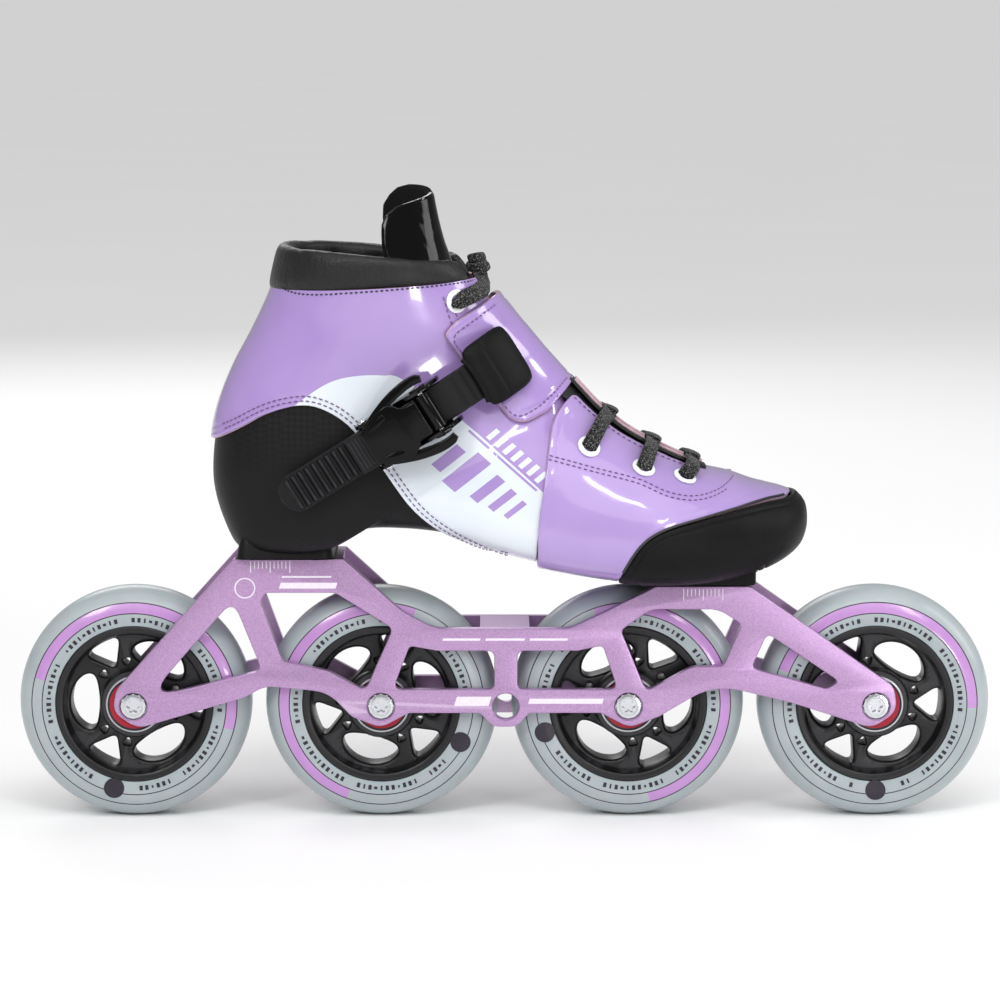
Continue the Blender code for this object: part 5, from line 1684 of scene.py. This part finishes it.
def add_tongue(paint):
    """The tongue: a padded patent strip that curls like a half tube where it stands above the collar."""
    stations = [
        (-29.9, 248, 17, 21, 2.2), (-28.4, 242, 17, 21, 2.4), (-26.4, 231, 18.5, 21, 2.8),
        (-23.8, 221, 20.5, 20, 3.2),
        (-19.5, 211, 22, 16, 3.4),
    ]
    for k in range(10):
        x, _, z = point_at(1.9 + 1.6 * k, 0.9999, -5.8)
        stations.append((x, z, 17.5 - 0.6 * k, 10 - 0.6 * k, 4.4))
    curve = np.array(spline(stations, 7))
    columns, join_z, trimmed_rows = 49, 221.0, 22
    free = curve[curve[:, 1] >= join_z]
    fixed = curve[curve[:, 1] < join_z]
    across = np.sin(math.pi / 2 * np.linspace(-1, 1, columns))
    tops = np.interp(across, *zip(*TONGUE_TOP))
    runs = np.gradient(curve[:, [0, 1]], axis=0)
    runs /= np.linalg.norm(runs, axis=1, keepdims=True)
    grids = ([], [])

    def add_point(values, run, side):
        x, z, half, bow, thick = values
        up = np.array([-run[1], 0, run[0]])
        edge = thick * (1 - 0.55 * abs(side) ** 3)
        middle = np.array([x, side * half, z]) - up * bow * side * side
        grids[0].append(middle + up * edge / 2)
        grids[1].append(middle - up * edge / 2)

    for row in range(trimmed_rows):
        part = (row / trimmed_rows) ** 1.3
        for side, top in zip(across, tops):
            z = top + (join_z - top) * part
            values = [np.interp(-z, -free[:, 1], free[:, k]) for k in range(5)]
            run = [np.interp(-z, -free[:, 1], runs[:len(free), k]) for k in range(2)]
            slim = min(1.0, 0.45 + (top - z) / 2.5)
            values[4] *= slim
            add_point(values, run, side)
    for values, run in zip(fixed, runs[len(free):]):
        for side in across:
            add_point(values, run, side)
    curve = range(trimmed_rows + len(fixed))
    tongue = slab("tongue_pad", grids[0] + grids[1], len(curve), columns, paint["patent_black"])
    tongue.data.materials.append(paint["lining"])
    inner = len(curve) * columns
    for polygon in tongue.data.polygons:
        polygon.material_index = 1 if all(k >= inner for k in polygon.vertices) else 0
    place(tongue, "skate", "tongue_patent", "tongue")


# ---------------------------------------------------------------- boot, front half


EYELETS = ((31.7, 146.9), (52.5, 138.6), (68.4, 134.7))
EYELET = [(2.3, 0.1), (4.3, 0.1), (4.5, 0.35), (4.45, 0.75), (4.0, 1.0), (3.1, 1.05), (2.5, 0.9), (2.3, 0.5)]


def add_vamp(paint):
    rear = [tuple(point) for point in spline(VAMP_REAR, 5)]
    outline = [*rear, (60, 190), *[(x - 0.25, z + 0.35) for x, z in toe_cap_edge()]]
    sole = [(43, 80), (43, 99.5), (130, 99.5), (130, 80)]
    under = side_field(sole)
    field = all_of(side_field(outline), throat_field(throat_outline(15, 10, 7, 118)),
                   lambda points: np.where(np.abs(points[:, 1]) < 24.9, -under(points), 9))
    vamp = panel("vamp_upper", VAMP, (8, LAST_RING), field, [paint["lilac_light"], paint["raw_edge"]],
                 grooves=[(3.0, 0.8, 0.1)], edge_pick=1)
    place(vamp, "boot_front", "patent_vamp", "vamp")
    facing = [(16.4, 144.6), (34, 139.6), (51.1, 135), (61, 130.6), (71, 128.6), (80, 129.8), (88, 133.2)]
    rows = []
    for side in (NEAR, FAR):
        rows.append(side_path(facing, side, VAMP[1]))
        rows.append(side_path(shifted([tuple(p) for p in spline(facing, 4)], -1.4)[:-1:2], side, VAMP[1]))
        rows.append(instep_path([(67, side * 13.4), (76, side * 13), (86, side * 13), (104, side * 13),
                                 (116, side * 11)], VAMP[1]))
    stitches("vamp_stitching", rows, paint["thread"], "boot_front")
    rings = []
    for x, z in EYELETS:
        for side in (NEAR, FAR):
            rings.append(ring_on("ring", on_side(x, z, side, VAMP[1]), EYELET, 36, paint["eyelet"]))
    eyelets = joined("lace_eyelets", rings, [paint["eyelet"]])
    shade(eyelets.data, 40)
    place(eyelets, "boot_front", None)


def add_toe_cap(paint):
    outline = [*toe_cap_edge(), (130, 85), (130, 133.5)]
    sole = side_field([(0, 80), (0, 99.5), (97.3, 99.5), (97.3, 80)])
    field = all_of(side_field(outline), lambda points: np.where(np.abs(points[:, 1]) < 24.9, -sole(points),
                                                                9))
    cap = panel("toe_cap_moulding", TOE_CAP, (10, LAST_RING), field, [paint["rubber"]], roll=0.7,
                grooves=[(2.4, 0.6, 0.35)])
    place(cap, "boot_front", "moulded_rubber", "toe_cap")
    edges = [side_path(shifted(toe_cap_edge()[6:-6], -0.7), side, TOE_CAP[1] - 0.35, bend=False)
             for side in (NEAR, FAR)]
    ribbons("toe_cap_line", edges, 0.5, 0.4, paint["sole_line"], "boot_front")


def add_front_sole(paint):
    def field(points):
        x, y, z = points.T
        return np.min([99.2 - z, 24.4 - np.abs(y), x - 43.5, 97 - x], axis=0)

    sole = panel("front_sole_skin", SOLE, (10, LAST_RING), field, [paint["rubber"]], roll=0.5)
    place(sole, "boot_front", "moulded_rubber", "front_sole")
    block = slab_box("front_mounting_block", (60, -17, 92.1), (96.5, 17, 97.6), 4.0, 0.8, paint["rubber"])
    hole = turned("hole", [(0.01, 90), (5.9, 90), (5.9, 96.4), (0.01, 96.4)], 40, [],
                  (centre_of("front_mount_bolt").x, 0, 0), axis="Z")
    cut(block, hole)
    block.data.materials.clear()
    block.data.materials.append(paint["rubber"])
    shade(block.data, 30)
    place(block, "boot_front", "moulded_rubber", "front_sole")


def add_throat_strips(paint):
    """What shows between the vamp's edges: the tongue's black cover and its two pale edge bindings."""
    cover = [instep_path([(62, -1), (80, -1), (100, 0), (124, 1)], 4.0, 4),
             instep_path([(62, -9.5), (80, -7.5), (100, -5), (116, -3)], 2.6, 4)]
    ribbons("tongue_cover", cover, 6.8, 0.8, paint["leather"], "skate")
    bindings = [instep_path([(64, -2.4), (80, -2), (100, -1), (121, 0)], 5.0, 4),
                instep_path([(64, 4.4), (80, 4.2), (100, 3.8), (122, 2.6)], 5.6, 4)]
    ribbons("tongue_binding", bindings, 0.7, 0.5, paint["raw_edge"], "skate")


def add_front_lace(paint):
    """Three runs of flat lace over the tongue, each folded up over the throat's edge, and the lace
    between."""
    parts = []
    for k, (x, z) in enumerate(EYELETS):
        top_u = (12.9, 15.4, 17.2)[k]
        crest = point_at(top_u, 0.9999, 5.4)
        for side in (NEAR, FAR):
            spot, normal = on_side(x, z, side, VAMP[1])
            start = spot - normal * 1.2
            rise = spot + normal * 1.4
            over = point_at(top_u, side * 0.86, 7.4)
            middle = Vector(crest) + Vector((0, side * 3.5, 0.6))
            points = spline([start, rise, Vector(over), middle, Vector(crest)], 6)
            tree = skin(VAMP[1])
            path = []
            for p in points:
                _, n, _, _ = tree.find_nearest(Vector(p))
                path.append((Vector(p), n if n.z > 0 else -n))
            parts.append(swept("run", path, 3.1, 0.9, paint["lace"], 1.0,
                               turns=lambda t, side=side: side * 0.3 * math.sin(math.pi * t)))
        bow = [(Vector(crest) + Vector((0.9 * math.sin(math.pi * t / 8) - 0.4, 5.4 - 1.35 * t, 1.3)),
                Vector((0.35, 0, 0.94))) for t in range(9)]
        parts.append(swept("fold", bow, 3.2, 1.3, paint["lace"], 1.0))
    lace = joined("front_lacing", parts, [paint["lace"]])
    shade(lace.data, 60)
    place(lace, "boot_front", "lace_fabric", "front_lace")


def add_rear_lace(paint):
    """The lace from the top eyelets to the wrapped knot over the tongue."""
    parts = []
    knot = Vector((-10.4, 0, 214.2))
    for side in (NEAR, FAR):
        spot, normal = on_side(-18.5, 202.2, side, QUARTER[1])
        points = [spot - normal, spot + normal * 1.5, Vector((-12.2, side * 24, 204.6)),
                  Vector((-8.4, side * 15, 206.4)), Vector((-9.2, side * 4, 210)), knot]
        path = [(Vector(p), Vector((0.45, side * 0.75, 0.45)).normalized()) for p in spline(points, 6)]
        parts.append(swept("run", path, 3.3, 0.8, paint["lace"], 1.0))
        ring = ring_on("ring", (spot, normal), EYELET, 36, paint["eyelet"])
        ring.name = f"top_eyelet_{'outer' if side == NEAR else 'inner'}"
        place(ring, "skate", None)
    lean = Vector((-0.35, 0, 0.94))
    front = Vector((0.94, 0, 0.35))
    for k in range(3):
        middle = knot + lean * (2.5 * (k - 1)) + front * (0.5, -0.3, 0.6)[k]
        loop = []
        for j in range(17):
            a = TURN * j / 16
            away = (Vector((0, 1, 0)) * math.cos(a) * 4.3
                    + front * math.sin(a) * (2.9 + 0.4 * math.sin(2.3 * k)))
            loop.append((middle + away + lean * 0.7 * math.sin(a + 2 * k), away.normalized()))
        parts.append(swept("wrap", loop, 1.7, 1.0, paint["lace"], 0.8))
    lace = joined("rear_lacing", parts, [paint["lace"]])
    shade(lace.data, 60)
    place(lace, "skate", "lace_fabric", "rear_lace")


# ---------------------------------------------------------------- instep strap, ladder strap and buckle

STRAP_ANGLE = math.radians(32)
BUCKLE_X, BUCKLE_Z = -28.0, 162.5
LADDER_BEND_START, LADDER_BEND_R, LADDER_UNDERSIDE = 2.0, 42.0, 36.2
LEVER_PIN, RELEASE_PIN = (0.0, 6.6), (-24.0, 5.4)


def strap_point(along, across, height, straight=False):
    """From the ladder strap's own coordinates to a place: along it from the lever's pin, across it, and out
    from
    its underside. The buckle is straight, the strap bends."""
    out = LADDER_UNDERSIDE + height
    if along > LADDER_BEND_START and not straight:
        angle = (along - LADDER_BEND_START) / LADDER_BEND_R
        out = LADDER_UNDERSIDE - LADDER_BEND_R + (LADDER_BEND_R + height) * math.cos(angle)
        along = LADDER_BEND_START + (LADDER_BEND_R + height) * math.sin(angle)
    cos, sin = math.cos(STRAP_ANGLE), math.sin(STRAP_ANGLE)
    return Vector((BUCKLE_X + along * cos - across * sin, -out, BUCKLE_Z + along * sin + across * cos))


def strap_outline():
    return rounded([
        (-22.5, 189.5, 3), (-18, 194.5, 3), (-3.5, 203.5, 2), (30, 212, 2), (45, 190, 2), (27.4, 171.5, 2),
        (17, 161.5, 8), (4.4, 155.6, 9),
    ])


def add_instep_strap(paint):
    outer = strap_outline()
    inner = rounded([(-3.5, 203.5, 2), (30, 212, 2), (45, 190, 2), (27.4, 171.5, 2), (-24, 120, 3),
                     (-48, 132, 3)])

    def field(points):
        flat = points[:, [0, 2]]
        return np.where(points[:, 1] < 0, inside_distance(outer, flat), inside_distance(inner, flat))

    strap = panel("instep_strap_patent", STRAP, (0.5, 20), field, [paint["lilac"], paint["raw_edge"]],
                  grooves=[(3.0, 0.8, 0.18)], per_ring=8, edge_pick=1)
    near = [(-3.5, 200.2), (-16.6, 191.6), (-19.2, 188.9), (-17.3, 184.2), (0.6, 161.9), (5.2, 158.9),
            (9.4, 160.2), (15.8, 164.3),
            (25.4, 173)]
    far = [(25.4, 173), (0, 147), (-22.5, 124.2)], [(-3.5, 200.2), (-25, 166), (-44.5, 134)]
    rows = [side_path(near, NEAR, STRAP[1])] + [side_path(line, FAR, STRAP[1]) for line in far]
    threads = stitches("instep_strap_stitching", rows, paint["thread"], "skate")
    for piece in (strap, threads):
        piece.parent = None
    return strap, threads


def follow_strap(piece, replaced=False):
    """Hangs a strap piece on the skate's body, hiding the CAD's instep strap when the piece replaces it."""
    if replaced:
        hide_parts("instep_strap")
    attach(piece, "skate")


def add_ladder_strap(paint):
    """The toothed strap: ramped teeth between two smooth edges on its free end, plain where it runs to the
    pad."""
    half, thickness = 7.4, 1.8
    free_end, first_tooth, pitch, teeth, joint = -66.0, -62.0, 3.0, 11, 20.8
    stations = []
    for k in range(6):
        stations.append((free_end + 0.8 * k, thickness * (0.55 + 0.09 * k) if k < 5 else thickness, 0))
    for k in range(teeth):
        start = first_tooth + pitch * k
        for t, high in ((0.1, 0), (0.35, 0.25), (1.0, 1.0), (1.15, 1.1), (1.9, 1.1), (2.05, 1.0), (2.2, 0)):
            stations.append((start + t, thickness, high))
    plain = first_tooth + pitch * teeth
    for k in range(49):
        along = plain + 0.4 + (joint - plain - 0.4) * k / 48
        ridge = 0.32 if 12.0 < along < 12.9 or 15.6 < along < 16.5 else 0
        stations.append((along, thickness + ridge, 0))
    across = (-1, -0.985, -0.93, -0.86, -0.84, -0.6, -0.3, 0, 0.3, 0.6, 0.84, 0.86, 0.93, 0.985, 1)
    grids = ([], [])
    for along, height, tooth in stations:
        reach = min((along - free_end) / 7.4, 1)
        narrow = half * (0.12 + 0.88 * math.sqrt(max(1 - (1 - reach) ** 2, 0)))
        for side in across:
            edge = max(abs(side) - 0.93, 0) / 0.07
            top = height - 0.5 * edge**2 + (tooth if abs(side) <= 0.84 else 0)
            grids[0].append(strap_point(along, side * narrow, top))
            grids[1].append(strap_point(along, side * narrow, 0.35 * edge**2))
    strap = slab("ladder_strap_toothed", grids[0] + grids[1], len(stations), len(across), paint["strap"])
    shade(strap.data, 28)
    place(strap, "ladder", "ladder_plastic", "ladder_strap")


def add_strap_pad(paint):
    """The moulded pad where the ladder strap meets the instep strap: a cushion with a crease and a lip."""
    columns, rows = 41, 45
    low, high, half = 19.4, 42.0, 12.6
    grids = ([], [])
    for i in range(rows):
        t = -1 + 2 * i / (rows - 1)
        for j in range(columns):
            s = -1 + 2 * j / (columns - 1)
            t_round = 1 - 0.1 * abs(s) ** 5
            s_round = 1 - 0.1 * abs(t) ** 5
            along = (low + high) / 2 + t * (high - low) / 2 * t_round
            across = s * half * s_round
            rim = max(abs(t), abs(s))
            dome = (1 - abs(t) ** 5) * (1 - abs(s) ** 5)
            crease = 0.45 * math.exp(-((along - 27.6) / 0.5) ** 2) * (abs(s) < 0.93)
            height = 3.2 + 2.4 * dome**0.6 - crease
            grids[0].append(strap_point(along, across, height))
            grids[1].append(strap_point(along, across, 1.4 + 0.8 * rim**8))
    pad = slab("strap_pad_moulding", grids[0] + grids[1], rows, columns, paint["rubber"])
    place(pad, "ladder", "moulded_rubber", "strap_end_pad")
    lip = []
    for j in range(21):
        s = -1 + 2 * j / 20
        lip.append((strap_point(19.6 + 0.5 * (1 - s * s), s * 9.2, 3.5 - 1.4 * abs(s) ** 4),
                    Vector((0.0, -1, 0))))
    rim = swept("strap_pad_lip", lip, 1.0, 0.9, paint["rubber"], 1.0)
    place(rim, "ladder", "moulded_rubber")


def prism(name, outline, low, high, edge, material, plan=False, steps=3):
    """A buckle piece with rounded edges, from its plan (along, across) or its side view (along, height)."""

    def spot(along, other, at):
        across, height = (other, at) if plan else (at, other)
        return strap_point(along, across, height, True) * MM

    return loft(name, outline, round_levels(low, high, edge, steps), spot, [material])


def mirrored_outline(half_outline):
    """Completes an outline given for positive across."""
    return [*half_outline, *[(along, -across) for along, across in reversed(half_outline)]]


def add_buckle(paint):
    base_plan = rounded([(-27, -9.6, 1.5), (5, -9.6, 2), (5, 9.6, 2), (-27, 9.6, 1.5)], 4)
    base = prism("buckle_base_plate", base_plan, -2.2, -0.6, 0.25, paint["buckle"], True)
    cheek = rounded([(-27, -1.4, 0.4), (9, -1.4, 1), (8, 4, 3), (4.5, 9.4, 3), (0, 10.4, 5), (-5, 9.6, 3),
                     (-9, 6.8, 3), (-20, 6.8, 2), (-23, 7.6, 1), (-26, 6.6, 1), (-27.6, 4, 1)], 5)
    parts = [base]
    for k, side in enumerate((-1, 1)):
        low, high = sorted((side * 8.0, side * 9.6))
        parts.append(prism(f"cheek_{k}", cheek, low, high, 0.3, paint["buckle"]))
        ends = sorted((side * 9.4, side * 10.3))
        parts.append(prism("boss", circle(0, 6.6, 3.4, 40), *ends, 0.3, paint["buckle"]))
        parts.append(prism("rivet", circle(-24, 5.4, 1.9, 28), *ends, 0.4, paint["bright_steel"]))
    obj = joined("buckle_base_moulding", parts, [paint["buckle"], paint["bright_steel"]])
    rivets = [k for k, p in enumerate(obj.data.polygons) if rivet_face(p.center)]
    for k in rivets:
        obj.data.polygons[k].material_index = 1
    shade(obj.data, 34)
    place(obj, "skate", "buckle_plastic", "buckle_base")
    for name, (along, height), radius, half in (("lever_pin", LEVER_PIN, 1.2, 10.6),
                                                ("release_pin", RELEASE_PIN, 0.9, 10.6)):
        pin = prism(f"{name}_steel", circle(along, height, radius, 32), -half, half, 0.25,
                    paint["bright_steel"])
        place(pin, "skate", "buckle_plastic", name)

    plan = mirrored_outline([tuple(p) for p in spline([
        (-3.0, 6.7), (-6.8, 6.8), (-9.2, 7.8), (-11, 9.8), (-13.8, 11.0), (-19, 10.0), (-24, 8.0),
        (-27, 6.0),
    ], 4)])
    lever = prism("lever_plate", plan, 8.4, 10.7, 0.7, paint["buckle"], True, 4)
    wings = []
    outer = spline([(-25, 8.0), (-20, 10.6), (-12, 13.6), (-4, 15.2), (1.6, 15.0), (4.0, 13.6)], 5)
    inner = spline([(3.2, 11.2), (0.4, 11.6), (-4, 11.4), (-12, 9.8), (-20, 7.2), (-25, 5.4)], 5)
    for side in (-1, 1):
        arm = [(along, across * side) for along, across in [*outer, *inner]]
        wings.append(prism("wing", arm, 6.4, 9.7, 0.55, paint["buckle"], True, 3))
        pocket = [(along, across * side) for along, across in
                  ((-15.5, 6.6), (-15.5, 9.0), (-19, 8.2), (-23, 6.6), (-24, 5.4), (-19, 5.6))]
        wings.append(prism("ridge", rounded([(*p, 0.8) for p in pocket], 3), 10.2, 11.1, 0.3,
                           paint["buckle"], True))
    barrel = prism("barrel", circle(*LEVER_PIN, 3.1, 40), -7.4, 7.4, 0.4, paint["buckle"])
    neck = prism("neck", rounded([(-9.5, 8.2, 0.4), (-2.6, 8.2, 0.4), (-3.4, 10.2, 0.6), (-9.5, 10.2, 0.4)],
                                 3), -7.3, 7.3,
                 0.3, paint["buckle"])
    lever = joined("ratchet_lever_moulding", [lever, *wings, barrel, neck], [paint["buckle"]])
    shade(lever.data, 34)
    place(lever, "lever", "buckle_plastic", "ratchet_lever")

    pawl = prism("drive_pawl_steel", [(-10, 3.4), (-8.6, 8.0), (-4, 8.0), (-3.9, 5.6), (-7, 3.2)], -5, 5,
                 0.15,
                 paint["steel"])
    place(pawl, "lever", "steel", "drive_pawl")
    leaf = [(-19, 7.7), (-19, 8.1), (-14, 8.1), (-10.6, 6.4), (-10.9, 6.0), (-14.2, 7.7)]
    spring = prism("pawl_spring_leaf", leaf, -2, 2, 0.05, paint["bright_steel"])
    place(spring, "lever", "steel", "pawl_spring")
    tab = rounded([(-34, 3.4, 0.6), (-34, 5.2, 0.8), (-32.5, 6.2, 1), (-27, 7.2, 3), (-24, 7.4, 1),
                   (-22, 6.8, 0.6),
                   (-21.8, 4.6, 0.5), (-24, 3.6, 0.6), (-28, 3.3, 1)], 4)
    parts = [prism("tab", tab, -7.4, 7.4, 0.5, paint["strap"])]
    for k in range(4):
        ridge = circle(-32.6 + 1.5 * k, 6.0 + 0.26 * k, 0.42, 12)
        parts.append(prism("ridge", ridge, -6, 6, 0.2, paint["strap"]))
    release = joined("release_lever_moulding", parts, [paint["strap"]])
    shade(release.data, 34)
    place(release, "release", "ladder_plastic", "release_lever")


def rivet_face(centre):
    """Whether a place on the buckle's base belongs to one of its two steel rivets."""
    x, z = centre.x / MM - BUCKLE_X, centre.z / MM - BUCKLE_Z
    along = x * math.cos(STRAP_ANGLE) + z * math.sin(STRAP_ANGLE)
    across = -x * math.sin(STRAP_ANGLE) + z * math.cos(STRAP_ANGLE)
    height = -centre.y / MM - LADDER_UNDERSIDE
    near = math.hypot(along - RELEASE_PIN[0], height - RELEASE_PIN[1]) < 2.0
    return near and abs(across) > 9.65


# ---------------------------------------------------------------- main


PAINT = make_materials()
add_wheels(PAINT)
add_frame(PAINT)
add_frame_marks(PAINT)
add_mounting(PAINT)
add_heel_shell(PAINT)
add_quarter(PAINT)
add_collar(PAINT)
add_lining(PAINT)
add_footbed(PAINT)
add_tongue(PAINT)
add_rear_lace(PAINT)
add_vamp(PAINT)
add_toe_cap(PAINT)
add_front_sole(PAINT)
add_throat_strips(PAINT)
add_front_lace(PAINT)
STRAP_PIECES = add_instep_strap(PAINT)
for number, piece in enumerate(STRAP_PIECES):
    follow_strap(piece, number == 0)
add_ladder_strap(PAINT)
add_strap_pad(PAINT)
add_buckle(PAINT)
add_camera()
add_studio(PAINT)
